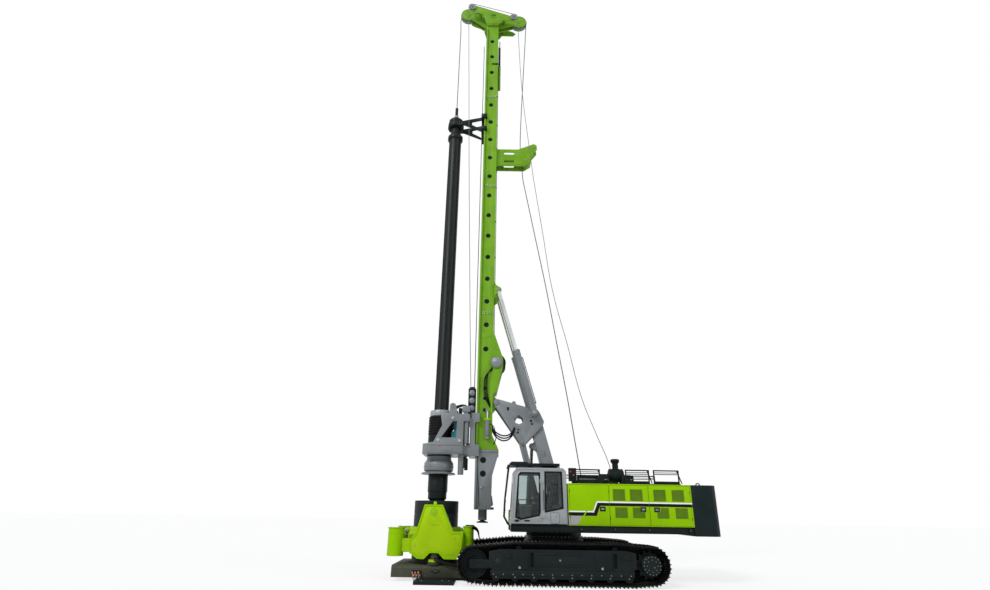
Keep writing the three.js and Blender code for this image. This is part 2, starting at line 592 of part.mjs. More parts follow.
// The door swings about the outer edge of its hinge plates, where they meet the plates of the shell.
const doorPivotX = CAB.doorRear - CAB.doorGap;
function hingePlates(x0, x1) {
  const { reach, halfHeight, low, high } = DOOR_HINGE;
  return [CAB.floor + low, CAB.top - high].map((z) => box(
    x0, x1, CAB.left - reach, CAB.left + 5, z - halfHeight, z + halfHeight,
  ));
}
function cabShell() {
  const { front, rear, left, right, floor, top, wall, doorRear } = CAB;
  const shell = cut(
    sidePlate(cabOutline(0), left, right),
    sidePlate(cabOutline(wall), left + wall, right - wall),
  );
  const quarter = [[doorRear + 95, floor + 360], [rear - 130, floor + 480], [rear - 150, top - 120],
    [doorRear + 95, top - 120]];
  const farWindow = [[front + 260, floor + 560], [rear - 150, floor + 560], [rear - 150, top - 150],
    [front + 300, top - 150]];
  const whole = cut(
    shell,
    sidePlate(doorOutline(0), left - 10, left + wall + 10),
    sidePlate(quarter, left - 10, left + wall + 10),
    sidePlate(farWindow, right - wall - 10, right + 10),
    box(front - 20, front + 200, left + 110, right - 110, floor + 170, top - 190),
    box(rear - wall - 10, rear + 10, left + 130, right - 130, floor + 800, top - 220),
    box(front + 330, front + 800, left + 170, right - 170, top - wall - 10, top + 10),
  );
  return join(whole, ...hingePlates(doorPivotX + SEAT, doorPivotX + DOOR_HINGE.length));
}
function cabDoor() {
  const { left, wall, doorGap } = CAB;
  const leaf = sidePlate(doorOutline(doorGap), left, left + wall, [doorWindow()]);
  return join(leaf, ...hingePlates(doorPivotX - DOOR_HINGE.length, doorPivotX));
}
// Black guard over the roof, with the bars that protect the windscreen.
function cabGuard() {
  const { front, rear, left, right, floor, top, lean } = CAB;
  const z = top + 60;
  const roof = sidePlate(
    [[front - 20, z], [rear - 190, z], [rear - 190, z + 70], [front + 560, z + 70], [front + 480, z + 110],
      [front + 40, z + 110], [front - 20, z + 60]],
    left - 20, right + 20,
  );
  const shapes = [roof];
  for (const x of [front + 240, rear - 300]) {
    for (const y of [left + 60, right - 60]) {
      shapes.push(box(x - 30, x + 30, y - 30, y + 30, top + SEAT, z + 10));
    }
  }
  const bottom = floor - 40;
  for (const y of [left - 10, right - 25]) {
    shapes.push(sidePlate(
      [[front - 15, z + 40], [front - 15, z - 30], [front - 130, floor + 700], [front - 150, bottom + 260],
        [front - 25, bottom + 60], [front - 60, bottom + 20], [front - 190, bottom + 250],
        [front - 165, floor + 710], [front - 55, z + 20]],
      y, y + 35,
    ));
  }
  const low = bottom + 250;
  for (const share of [0.12, 0.3, 0.5, 0.7, 0.88]) {
    const barZ = low + (z - low) * share;
    const barX = front - 160 + 110 * share;
    shapes.push(box(barX - 8, barX + 14, left + 10, right - 10, barZ - 8, barZ + 8));
  }
  return join(...shapes);
}
function operatorSeat() {
  const { right, left, floor, wall } = CAB;
  const middle = (left + right) / 2;
  const base = floor + wall + SEAT;
  return join(
    box(-560, -180, middle - 160, middle + 160, base, base + 330),
    sidePlate(
      [[-700, base + 320], [-150, base + 320], [-150, base + 430], [-640, base + 450], [-700, base + 420]],
      middle - 240, middle + 240,
    ),
    sidePlate(
      [[-270, base + 400], [-150, base + 400], [-60, base + 1040], [-120, base + 1060], [-200, base + 1000]],
      middle - 230, middle + 230,
    ),
  );
}

// ---------------------------------------------------------------- hood, doors and tail
const hoodFloor = DECK.top + SEAT;
const doorBays = [
  { name: 'front', from: HOOD.front + 40, to: HOOD.seams[0] },
  { name: 'middle', from: HOOD.seams[0], to: HOOD.seams[1] },
  { name: 'rear', from: HOOD.seams[1], to: HOOD.rear - 30 },
];
// A slab on one side of the hood, from its outer face inwards.
function sideSlab(x0, x1, side, depth, z0, z1, proud = 0) {
  const outer = side * (HOOD.halfWidth + proud);
  const inner = side * (HOOD.halfWidth - depth);
  return box(x0, x1, Math.min(outer, inner), Math.max(outer, inner), z0, z1);
}
function hoodShell() {
  const { front, rear, halfWidth, top, wall, wellRear, wellHalf } = HOOD;
  const { doorLeaf, doorSill, doorHeader, frameLip } = HOOD;
  const shell = cut(
    box(front, rear, -halfWidth, halfWidth, hoodFloor, top),
    box(front + wall, rear - wall, -halfWidth + wall, halfWidth - wall, hoodFloor - 10, top - wall),
  );
  const openings = [-1, 1].flatMap((side) => doorBays.flatMap(({ from, to }) => [
    sideSlab(from, to, side, doorLeaf + SEAT, hoodFloor + doorSill, top - doorHeader, 5),
    sideSlab(from + frameLip, to - frameLip, side, wall + 5, hoodFloor + doorSill + frameLip,
      top - doorHeader - frameLip, 5),
  ]));
  const well = box(front - 20, wellRear, -wellHalf, wellHalf, hoodFloor - 20, top + 20);
  return cut(shell, ...openings, well);
}
function hoodDoor(bay, side) {
  const { top, doorLeaf, doorGap, doorSill, doorHeader } = HOOD;
  return sideSlab(bay.from + doorGap, bay.to - doorGap, side, doorLeaf,
    hoodFloor + doorSill + doorGap, top - doorHeader - doorGap);
}
function counterweight() {
  const { front, rear, bottom, top, halfWidth, chamfer } = WEIGHT;
  const plan = [[front, -halfWidth], [rear - chamfer, -halfWidth], [rear, -halfWidth + chamfer],
    [rear, halfWidth - chamfer], [rear - chamfer, halfWidth], [front, halfWidth]];
  return join(flatPlate(plan, bottom, top), box(front + 60, front + 480, -500, 500, top - 10, top + 40));
}
function engineBlock() {
  const { front, rear, halfWidth, bottom, top } = ENGINE;
  const feet = [[front + 120, -300], [front + 120, 220], [rear - 240, -300], [rear - 240, 220]];
  return join(
    box(front, rear, -halfWidth, halfWidth, bottom, top),
    ...feet.map(([x, y]) => box(x, x + 120, y, y + 80, hoodFloor, bottom + 10)),
  );
}
function sideBox() {
  const { front, rear, inner, outer, top } = SIDE_BOX;
  const floor = DECK.top + SEAT;
  return join(
    sidePlate(
      [[front, floor], [rear, floor], [rear, top], [front + 900, top], [front + 760, floor + 420],
        [front, floor + 420]],
      inner, outer,
    ),
    box(front + 950, front + 1150, inner + 300, inner + 500, top - 10, top + 45),
  );
}
function railing(side) {
  const { y, top, bar: width, sets } = RAILING;
  const foot = HOOD.top + SEAT;
  const [y0, y1] = [side * y - width / 2, side * y + width / 2];
  const shapes = [box(sets[0][0] - 20, sets.at(-1)[1] + 20, y0 - 20, y1 + 20, foot, foot + 30)];
  for (const [from, to] of sets) {
    shapes.push(box(from, to, y0, y1, top - width, top));
    shapes.push(box(from, to, y0 + 6, y1 - 6, top - 140, top - 116));
    for (const x of [from, to - width]) shapes.push(box(x, x + width, y0, y1, foot + 20, top - 10));
  }
  return join(...shapes);
}
function airCleaner() {
  const { x, y, z, r, halfLength, stackTop, capR } = AIR_CLEANER;
  const foot = HOOD.top + SEAT;
  return join(
    bar([x - halfLength, y, z], [x + halfLength, y, z], r, MEDIUM),
    turned([[0, z], [95, z], [95, stackTop - 130], [105, stackTop - 110], [capR, stackTop - 60],
      [capR, stackTop - 20], [capR - 60, stackTop], [0, stackTop]], x, y, COARSE),
    box(x - 180, x - 120, y - 130, y + 130, foot, z),
    box(x + 120, x + 180, y - 130, y + 130, foot, z),
  );
}
function exhaust() {
  const { x, y, r, top, silencerR } = EXHAUST;
  const foot = HOOD.top + SEAT;
  return join(
    bar([x - 50, y - 380, foot + silencerR + 20], [x - 50, y + 380, foot + silencerR + 20], silencerR),
    bar([x, y, foot + 100], [x, y, top - 60], r, 8),
    sidePlate(
      [[x - r, top - 120], [x + r, top - 80], [x + 260, top], [x + 250, top + 60], [x - r, top - 20]],
      y - r * 0.8, y + r * 0.8,
    ),
    box(x - 160, x + 60, y - 300, y - 240, foot, foot + 120),
    box(x - 160, x + 60, y + 240, y + 300, foot, foot + 120),
  );
}

// ---------------------------------------------------------------- boom, support link, delta frame
function armOutline(a, b, widthA, widthB) {
  return hullOfCircles([[a.x, a.z, widthA / 2], [b.x, b.z, widthB / 2]], MEDIUM);
}
function boomArm() {
  const { depth, topHalf, footHalf } = BOOM;
  const beam = sidePlate(armOutline(BOOM_FOOT, CROSS_PIN, depth, depth * 0.9), -topHalf, topHalf);
  const middle = { x: (BOOM_FOOT.x * 2 + CROSS_PIN.x) / 3, z: (BOOM_FOOT.z * 2 + CROSS_PIN.z) / 3 };
  const foot = sidePlate(armOutline(BOOM_FOOT, middle, depth * 0.75, depth * 0.85), -footHalf, footHalf);
  const shapes = [beam, foot, pin(BOOM_FOOT.x, BOOM_FOOT.z, -footHalf - 80, footHalf + 80, BOOM_FOOT.r)];
  const lug = LUFF_RAM.eyeHalf + CLEAR;
  for (const y of [-lug - 40, lug]) {
    shapes.push(sidePlate(
      [[LUFF_EYE.x - 60, LUFF_EYE.z - 40], [LUFF_EYE.x - 10, LUFF_EYE.z - 75],
      [LUFF_EYE.x + 290, LUFF_EYE.z - 260],
        [LUFF_EYE.x + 290, LUFF_EYE.z + 260], [LUFF_EYE.x - 10, LUFF_EYE.z + 75],
        [LUFF_EYE.x - 60, LUFF_EYE.z + 40]],
      y, y + 40,
    ));
  }
  const slot = sidePlate(
    hullOfCircles([[LUFF_EYE.x, LUFF_EYE.z, LUFF_RAM.eyeR + EYE_PLAY + 20]], COARSE),
    -lug, lug,
  );
  const whole = cut(join(...shapes), slot, boreCut(CROSS_PIN.x, CROSS_PIN.z, -400, 400, CROSS_PIN.r));
  return join(whole, pin(LUFF_EYE.x, LUFF_EYE.z, -lug - 30, lug + 30, LUFF_EYE.r));
}
function supportLink() {
  const foot = { x: LINK_PIN.x + BOOM_FOOT.x - CROSS_PIN.x, z: LINK_PIN.z + BOOM_FOOT.z - CROSS_PIN.z };
  const { plateY, thickness, depth } = LINK;
  const shapes = [-plateY - thickness, plateY].map((y) => sidePlate(
    armOutline(foot, LINK_PIN, depth * 0.8, depth), y, y + thickness,
  ));
  const reach = DELTA.plateY + DELTA.thickness;
  shapes.push(pin(foot.x, foot.z, -plateY - thickness - 70, plateY + thickness + 70, LINK_PIN.r));
  for (const [y0, y1] of [[-reach - 20, -plateY - 10], [plateY + 10, reach + 20]]) {
    shapes.push(pin(LINK_PIN.x, LINK_PIN.z, y0, y1, LINK_PIN.r));
  }
  return join(...shapes);
}
function deltaFrame() {
  const { plateY, thickness } = DELTA;
  const outline = [[MAST_PIN.x - 70, MAST_PIN.z + 75], [MAST_PIN.x + 60, MAST_PIN.z + 105],
    [-815, 5190], [CROSS_PIN.x + 60, CROSS_PIN.z + 180], [CROSS_PIN.x + 200, CROSS_PIN.z + 40],
    [-262, 4720], [-300, 4600], [LINK_PIN.x + 80, LINK_PIN.z - 75], [LINK_PIN.x - 40, LINK_PIN.z - 85],
    [LINK_PIN.x - 90, LINK_PIN.z - 10], [MAST_PIN.x - 100, MAST_PIN.z - 60]];
  const holes = [[-1111, 4775, 150], [-1470, 5101, 42], [-666, 4637, 42], [-1145, 4350, 42]]
    .map(([x, z, r]) => circle(x, z, r));
  const plates = [-plateY - thickness, plateY].map((y) => sidePlate(outline, y, y + thickness, holes));
  const ties = [[-1300, 5270], [-1240, 4560]].map(([x, z]) => crossBar(x, z, -plateY - 10, plateY + 10, 45));
  const lug = [-plateY - 40, plateY + 5].map((y) => crossBar(-1279, 5330, y, y + 35, 75));
  const bores = [
    boreCut(CROSS_PIN.x, CROSS_PIN.z, -400, 400, CROSS_PIN.r),
    boreCut(LINK_PIN.x, LINK_PIN.z, -400, 400, LINK_PIN.r),
  ];
  const whole = cut(join(...plates, ...ties, ...lug), ...bores);
  return join(whole, pin(MAST_PIN.x, MAST_PIN.z, -plateY - thickness, plateY + thickness, MAST_PIN.r));
}

// A ram along its own +Z from its foot pin. Both rams of a pair share one cross shaft, whose facets
// are turned by the ram's lean so that they line up with the bores of the upright pieces.
function ramTubes({ tubeR, rodR, tubeLength, eyeR, eyeHalf }, footR, offsets, shaftHalf, lean) {
  const shapes = offsets.map((y) => join(
    turned([[0, 10], [eyeHalf - 5, 10], [eyeHalf - 5, eyeR], [tubeR, eyeR + 40], [tubeR, tubeLength - 60],
      [tubeR + 14, tubeLength - 60], [tubeR + 14, tubeLength], [rodR + RUN, tubeLength],
      [rodR + RUN, RAM_BORE.closedEnd], [0, RAM_BORE.closedEnd]], 0, y, COARSE),
    crossBar(0, 0, y - eyeHalf, y + eyeHalf, eyeR),
  ));
  const shaft = sidePlate(circle(0, 0, footR, COARSE, Math.PI / COARSE + lean), -shaftHalf, shaftHalf);
  return join(...shapes, shaft);
}
function ramRods({ rodR, eyeR, eyeHalf }, length, offsets, eyePin) {
  return offsets.map((y) => cut(
    join(
      turned([[0, RAM_BORE.rodStart], [rodR, RAM_BORE.rodStart], [rodR, length - eyeR - 20],
        [eyeHalf - 5, length - eyeR], [eyeHalf - 5, length - 40], [0, length - 40]], 0, y, COARSE),
      crossBar(0, length, y - eyeHalf, y + eyeHalf, eyeR),
    ),
    crossBar(0, length, y - eyeHalf - 5, y + eyeHalf + 5, eyePin + EYE_PLAY),
  ));
}
const leanOf = (foot, eye) => Math.atan2(eye.x - foot.x, eye.z - foot.z);
function ramGroup(foot, eye, meshes) {
  const made = group(meshes, foot.x, 0, foot.z);
  made.rotation.y = leanOf(foot, eye);
  return made;
}
const span = (a, b) => Math.hypot(a.x - b.x, a.z - b.z);

function mastRams() {
  const offsets = [-MAST_RAM.y, MAST_RAM.y];
  const shaftHalf = MAST_RAM.y + MAST_RAM.eyeHalf + 20;
  const tubes = ramTubes(MAST_RAM, CROSS_PIN.r, offsets, shaftHalf, leanOf(CROSS_PIN, MAST_EYE));
  const [left, right] = ramRods(MAST_RAM, span(CROSS_PIN, MAST_EYE), offsets, MAST_EYE.r);
  return ramGroup(CROSS_PIN, MAST_EYE, [
    piece('mast_ram_tubes', tubes, GREY()),
    piece('mast_ram_rod_left', left, STEEL()),
    piece('mast_ram_rod_right', right, STEEL()),
  ]);
}
function luffRam() {
  const tube = ramTubes(LUFF_RAM, LUFF_FOOT.r, [0], LUFF_RAM.eyeHalf + 50, leanOf(LUFF_FOOT, LUFF_EYE));
  const [rod] = ramRods(LUFF_RAM, span(LUFF_FOOT, LUFF_EYE), [0], LUFF_EYE.r);
  return ramGroup(LUFF_FOOT, LUFF_EYE, [
    piece('luff_ram_tube', tube, GREY()),
    piece('luff_ram_rod', rod, STEEL()),
  ]);
}

// ---------------------------------------------------------------- mast
const mastFront = MAST_X - MAST.depth / 2;
const mastRear = MAST_X + MAST.depth / 2;
function rails(z0, z1) {
  const { halfWidth } = MAST;
  return [-halfWidth - RAIL.reach, halfWidth - 10].map((y) => box(
    mastFront, mastFront + RAIL.thickness, y, y + RAIL.reach + 10, z0, z1,
  ));
}
function mastBody() {
  const { bottom, top, halfWidth, wall } = MAST;
  const outline = [[mastFront, bottom], [mastRear + 220, bottom], [mastRear, bottom + 470], [mastRear, 5620],
    [CROWD.x + 20, 5690], [CROWD.x + 235, CROWD.z - 130], [CROWD.x + 235, CROWD.z + 130],
    [mastRear, 7860], [mastRear, top], [mastFront, top]];
  const body = sidePlate(outline, -halfWidth, halfWidth);
  const crowdHalf = CROWD.halfWidth + 15;
  const hollow = [
    box(mastFront + wall, mastRear - wall, -halfWidth + wall, halfWidth - wall, bottom + 300, top - 200),
    box(mastFront + wall, CROWD.x + 400, -crowdHalf, crowdHalf, CROWD.z - 640, CROWD.z + 640),
    crossBar(CROWD.x, CROWD.z, -halfWidth - 10, halfWidth + 10, boreRadius(CROWD.hubR)),
  ];
  const holes = [];
  for (let z = MAST_HOLES.first; z < top - MAST_HOLES.topMargin; z += MAST_HOLES.pitch) {
    holes.push(crossBar(MAST_X, z, -halfWidth - 10, halfWidth + 10, MAST_HOLES.radius, 6));
  }
  const pinLug = sidePlate(
    [[mastRear - 20, MAST_PIN.z - 330], [MAST_PIN.x + 30, MAST_PIN.z - 110],
    [MAST_PIN.x + 110, MAST_PIN.z - 40],
      [MAST_PIN.x + 110, MAST_PIN.z + 40], [MAST_PIN.x + 30, MAST_PIN.z + 110],
      [mastRear - 20, MAST_PIN.z + 260]],
    -DELTA.plateY + 5, DELTA.plateY - 5,
  );
  const eyeLugs = [-halfWidth, halfWidth - 60].map((y) => sidePlate(
    [[mastRear - 10, MAST_EYE.z - 260], [MAST_EYE.x + 40, MAST_EYE.z - 90], [MAST_EYE.x + 90, MAST_EYE.z],
      [MAST_EYE.x + 40, MAST_EYE.z + 90], [mastRear - 10, MAST_EYE.z + 260]],
    y, y + 60,
  ));
  const eyePins = [-1, 1].map((side) => {
    const ends = [side * (halfWidth - 50), side * (MAST_RAM.y + MAST_RAM.eyeHalf + 25)].sort((a, b) => a - b);
    return pin(MAST_EYE.x, MAST_EYE.z, ends[0], ends[1], MAST_EYE.r);
  });
  const pinBore = boreCut(MAST_PIN.x, MAST_PIN.z, -400, 400, MAST_PIN.r);
  const whole = cut(join(body, pinLug), ...hollow, ...holes, pinBore);
  return join(whole, ...rails(bottom, top - 150), ...eyeLugs, ...eyePins);
}
function lowerMast() {
  const { bottom: foot, stubR, stubBottom, discR, discBottom } = MAST_FOOT;
  const { halfWidth, wall } = MAST;
  const top = MAST.bottom - SEAT;
  const body = sidePlate(
    [[mastFront, foot], [mastRear, foot], [mastRear + 20, 3000], [mastRear + 190, 3600],
      [mastRear + 220, top - 190], [mastRear + 220, top], [mastFront, top]],
    -halfWidth, halfWidth,
  );
  const inner = box(mastFront + wall, mastRear - wall, -halfWidth + wall, halfWidth - wall, foot + 150,
    top - 220);
  const holes = [3450, 3030].map((z) => crossBar(MAST_X - 10, z, -halfWidth - 10, halfWidth + 10, 80));
  return join(
    cut(body, inner, ...holes),
    ...rails(foot, top),
    post(MAST_X, 0, stubBottom, foot + 10, stubR),
    turned([[0, discBottom], [discR, discBottom], [discR, discBottom + 25], [60, discBottom + 60],
      [60, stubBottom + 10], [0, stubBottom + 10]], MAST_X, 0, COARSE),
  );
}
function mastHead() {
  const { plateGap, plateThickness, outerY, coverR } = HEAD;
  const base = MAST.top + SEAT;
  const neck = box(mastFront + 10, mastRear - 10, -HEAD.outerY - 20, HEAD.outerY + 20, base, base + 330);
  const corners = [[mastFront, base + 120, 20], [mastRear, base + 120, 20]];
  const inner = hullOfCircles([[HEAD.frontX, HEAD.frontZ, 150], [HEAD.rearX, HEAD.rearZ, 150],
    ...corners], 8);
  const shapes = [neck];
  for (const y of [-plateGap - plateThickness, plateGap]) {
    shapes.push(sidePlate(inner, y, y + plateThickness));
    shapes.push(crossBar(HEAD.frontX, HEAD.frontZ, y, y + plateThickness, coverR, MEDIUM));
    shapes.push(crossBar(HEAD.rearX, HEAD.rearZ, y, y + plateThickness, coverR, MEDIUM));
  }
  const outer = [[AUX_HEAD.frontX - 200, AUX_HEAD.frontZ - 60], [AUX_HEAD.frontX - 60, AUX_HEAD.frontZ - 170],
    [-2700, base + 630], [-2560, base + 60], [-1960, base + 60], [-1840, base + 270],
    [AUX_HEAD.rearX + 60, AUX_HEAD.rearZ - 150],
    [AUX_HEAD.rearX + 190, AUX_HEAD.rearZ - 20], [AUX_HEAD.rearX + 60, AUX_HEAD.rearZ + 100],
    [AUX_HEAD.frontX + 30, AUX_HEAD.frontZ + 160], [AUX_HEAD.frontX - 150, AUX_HEAD.frontZ + 110]];
  const hole = circle(AUX_HEAD.holeX, AUX_HEAD.holeZ, AUX_HEAD.holeR);
  for (const y of [-outerY - 40, outerY]) shapes.push(sidePlate(outer, y, y + 40, [hole]));
  const ties = [[-2850, base + 780], [-1750, base + 450]].map(([x, z]) => crossBar(x, z, -outerY - 5,
    outerY + 5, 70));
  const bores = [[HEAD.frontX, HEAD.frontZ], [HEAD.rearX, HEAD.rearZ]].map(
    ([x, z]) => boreCut(x, z, -200, 200, 70),
  );
  const gap = box(HEAD.frontX - 500, -2880, -plateGap, plateGap, base + 350, base + 1650);
  const gapRear = box(-1640, HEAD.rearX + 500, -plateGap, plateGap, base + 50, base + 1450);
  return cut(join(...shapes, ...ties), gap, gapRear, ...bores);
}
function headSheave(x, z) {
  const { sheaveR, grooveR, sheaveHalf, plateGap, plateThickness } = HEAD;
  return join(
    crossBar(x, z, -sheaveHalf, -sheaveHalf + 30, sheaveR, MEDIUM),
    crossBar(x, z, -sheaveHalf + 20, sheaveHalf - 20, grooveR, MEDIUM),
    crossBar(x, z, sheaveHalf - 30, sheaveHalf, sheaveR, MEDIUM),
    pin(x, z, -plateGap - plateThickness - 10, plateGap + plateThickness + 10, 70),
  );
}
function ropeGuide() {
  const { z, height, reach, plateY, thickness, sheaveR } = ROPE_GUIDE;
  const root = mastRear + SEAT;
  const upper = [[root, z], [root + reach, z], [root + reach + 290, z + 160], [root + reach + 490, z + 420],
    [root + reach + 480, z + 620], [root + reach + 360, z + 690], [root + reach - 300, z + height],
    [root, z + height]];
  const lower = [[root, z - 410], [root + reach - 60, z - 410], [root + reach + 220, z - 220],
    [root + reach + 290, z + 160], [root + reach, z + 40], [root, z + 40]];
  const slot = (low) => hullOfCircles([[root + 350, low, 55], [root + 680, low, 55]], 8);
  const shapes = [];
  for (const y of [-plateY - thickness, plateY]) {
    shapes.push(sidePlate(upper, y, y + thickness, [slot(z + 200)]));
    shapes.push(sidePlate(lower, y, y + thickness, [slot(z - 190)]));
  }
  shapes.push(box(root, root + 30, -plateY - thickness - 60, plateY + thickness + 60, z - 450,
    z + height + 40));
  shapes.push(crossBar(root + reach + 380, z + 550, -plateY - 5, plateY + 5, 60, 8));
  shapes.push(crossBar(root + reach + 30, z - 110, -plateY - 5, plateY + 5, sheaveR, MEDIUM));
  return join(...shapes);
}
function crowdDrum() {
  const { x, z, drumR, flangeR, halfWidth, hubR } = CROWD;
  return join(
    crossBar(x, z, -halfWidth + 20, halfWidth - 20, drumR, MEDIUM),
    crossBar(x, z, -halfWidth, -halfWidth + 30, flangeR, MEDIUM),
    crossBar(x, z, halfWidth - 30, halfWidth, flangeR, MEDIUM),
    pin(x, z, -MAST.halfWidth - 40, MAST.halfWidth + 40, hubR),
  );
}

// ---------------------------------------------------------------- rotary drive on its carriage
// A claw holds one rail from the front, the side and behind.
function claws(z0, z1, front) {
  const inner = MAST.halfWidth + CLEAR;
  const outer = MAST.halfWidth + RAIL.reach + RUN;
  const back = mastFront + RAIL.thickness + RUN;
  const left = join(
    box(front, back + 60, -outer - 70, -outer, z0, z1),
    box(back, back + 60, -outer - 70, -inner, z0, z1),
  );
  return [left, mirrorY(left)];
}
const sleeveR = SLEEVE.bore + SLEEVE.wall;
function driveFrame() {
  const { front, rear, bottom, top, halfWidth } = GEARBOX;
  const clawOuter = MAST.halfWidth + RAIL.reach + RUN + 70;
  const gearbox = flatPlate(
    [[front, -halfWidth + 180], [front + 160, -halfWidth], [rear, -halfWidth], [rear, halfWidth],
      [front + 160, halfWidth], [front, halfWidth - 180]],
    bottom, top,
  );
  const wing = [[-3929, top - 10], [rear, top - 10], [rear, 4640], [-2800, 4640], [-2800, BRACKET.top - 20],
    [-3150, BRACKET.top - 20], [-3225, BRACKET.lugTop - 40], [-3317, BRACKET.lugTop],
    [-3410, BRACKET.lugTop - 40],
    [-3430, BRACKET.top], [-3640, BRACKET.top], [-3700, BRACKET.top - 60], [-3640, 4500]];
  const window = [[-3660, 4110], [-3160, 4110], [-3160, 4640], [-3290, 4640]];
  const shapes = [gearbox];
  for (const y of [-halfWidth, halfWidth - BRACKET.thickness]) {
    shapes.push(sidePlate(wing, y, y + BRACKET.thickness, [window]));
  }
  const carriageFace = mastFront - CLEAR;
  shapes.push(box(CARRIAGE.front, carriageFace, -clawOuter, clawOuter, CARRIAGE.bottom,
    CARRIAGE.bottom + 400));
  shapes.push(box(CARRIAGE.front, carriageFace, -clawOuter, clawOuter, 4620, CARRIAGE.top));
  shapes.push(box(rear - 20, CARRIAGE.front + 20, -clawOuter, clawOuter, bottom + 20, top - 30));
  shapes.push(box(-2820, CARRIAGE.front + 20, -halfWidth, halfWidth, 4650, BRACKET.top - 30));
  for (const y of [-clawOuter, clawOuter - 140]) {
    shapes.push(box(CARRIAGE.front + 25, carriageFace - 14, y, y + 140, CARRIAGE.bottom + 390, 4630));
  }
  shapes.push(...claws(CARRIAGE.bottom, CARRIAGE.bottom + CARRIAGE.claw + 60, carriageFace - 20));
  shapes.push(...claws(CARRIAGE.top - CARRIAGE.claw, CARRIAGE.top, carriageFace - 20));
  shapes.push(bar([-3000, -430, 2980], [-3000, -430, bottom + 10], 95));
  const bore = post(KELLY_X, 0, bottom - 200, top + 200, boreRadius(sleeveR, MEDIUM, CLEAR), MEDIUM);
  return cut(join(...shapes), bore);
}
function driveMotors() {
  const base = GEARBOX.top + SEAT;
  const sleeveRing = KELLY_X + sleeveR + SLEEVE.seatWidth;
  const shapes = [box(sleeveRing + 20, sleeveRing + 290, -560, 560, base, base + 60)];
  for (const y of [-380, 380]) {
    shapes.push(post(-3170, y, base + 50, base + 420, 135));
    shapes.push(post(-3170, y, base + 410, base + 640, 105));
    shapes.push(box(-3240, -3100, y - 60, y + 60, base + 620, base + 730));
  }
  return join(...shapes);
}
function driveSleeve() {
  const s = { ...SLEEVE, seatZ: GEARBOX.top + SEAT, bodyR: sleeveR };
  const profile = [[s.bore, s.flangeBottom], [s.flangeR, s.flangeBottom], [s.flangeR, s.flangeBottom + 35],
    [s.ringR - 60, s.ringBottom - 20], [s.ringR, s.ringBottom], [s.ringR, s.ringTop - 60],
    [s.ringR - 60, s.ringTop],
    [s.bodyR, s.funnelTop], [s.bodyR, s.seatZ], [s.bodyR + s.seatWidth, s.seatZ],
    [s.bodyR + s.seatWidth, s.seatZ + 50],
    [s.bodyR, s.seatZ + 90], [s.bodyR, s.ribBottom - 90], [s.bodyR - 15, s.ribBottom - 60]];
  const ribs = 3;
  const pitch = (s.ribTop - s.ribBottom) / ribs;
  for (let k = 0; k < ribs; k += 1) {
    const z = s.ribBottom + k * pitch;
    const ribR = s.bodyR + s.ribWidth;
    profile.push([ribR, z], [ribR, z + pitch * 0.6], [ribR - 28, z + pitch * 0.8]);
  }
  profile.push([s.bore + s.collarWall, s.ribTop], [s.bore + s.collarWall, s.collarTop],
    [s.bore, s.collarTop], [s.bore, s.flangeBottom]);
  return turned(profile, KELLY_X, 0, MEDIUM);
}

// ---------------------------------------------------------------- kelly bar and its guide
function kellyBar() {
  const k = KELLY;
  const profile = [[0, k.bottom], [k.noseR - 60, k.bottom], [k.noseR, k.bottom + 60], [k.noseR, k.noseTop],
    [k.keyR, k.noseTop + 15], [k.keyR, k.keyTop], [k.barR, k.keyTop + 60], [k.barR, k.collarBottom],
    [k.collarR, k.collarBottom + 40], [k.collarR, k.collarTop - 60], [k.neckR, k.collarTop],
    [k.neckR, GUIDE.top + SEAT], [k.capR, GUIDE.top + SEAT], [k.capR, k.capTop],
    [k.swivelR, k.capTop + 40], [k.swivelR, k.swivelTop], [0, k.swivelTop]];
  return turned(profile, KELLY_X, 0, MEDIUM);
}
function kellyGuide() {
  const { bottom, top, ringR, armY, armThickness } = GUIDE;
  const inner = KELLY.neckR + CLEAR;
  const ring = turned(
    [[inner, bottom], [ringR, bottom], [ringR, top], [inner, top], [inner, bottom]], KELLY_X, 0, MEDIUM,
  );
  const face = mastFront - CLEAR;
  const outline = [[KELLY_X - 40, bottom], [KELLY_X + 330, bottom + 20], [face - 60, bottom - 330],
    [face - 60, bottom - 240], [KELLY_X + 700, bottom + 10], [KELLY_X + 700, top - 60],
    [face - 60, top + 60], [face - 60, top + 200],
    [KELLY_X + 330, top], [KELLY_X - 40, top]];
  const shapes = [ring];
  for (const y of [-armY - armThickness, armY]) shapes.push(sidePlate(outline, y, y + armThickness));
  const clawOuter = MAST.halfWidth + RAIL.reach + RUN + 70;
  shapes.push(box(face - 110, face, -clawOuter, clawOuter, bottom - 360, bottom - 200));
  shapes.push(box(face - 110, face, -clawOuter, clawOuter, top + 40, top + 220));
  shapes.push(box(face - 90, face, -200, 200, bottom - 210, top + 50));
  shapes.push(...claws(bottom - 360, bottom - 200, face - 20), ...claws(top + 40, top + 220, face - 20));
  const bore = post(KELLY_X, 0, bottom - 100, top + 100, boreRadius(KELLY.neckR, MEDIUM, CLEAR), MEDIUM);
  return cut(join(...shapes), bore);
}

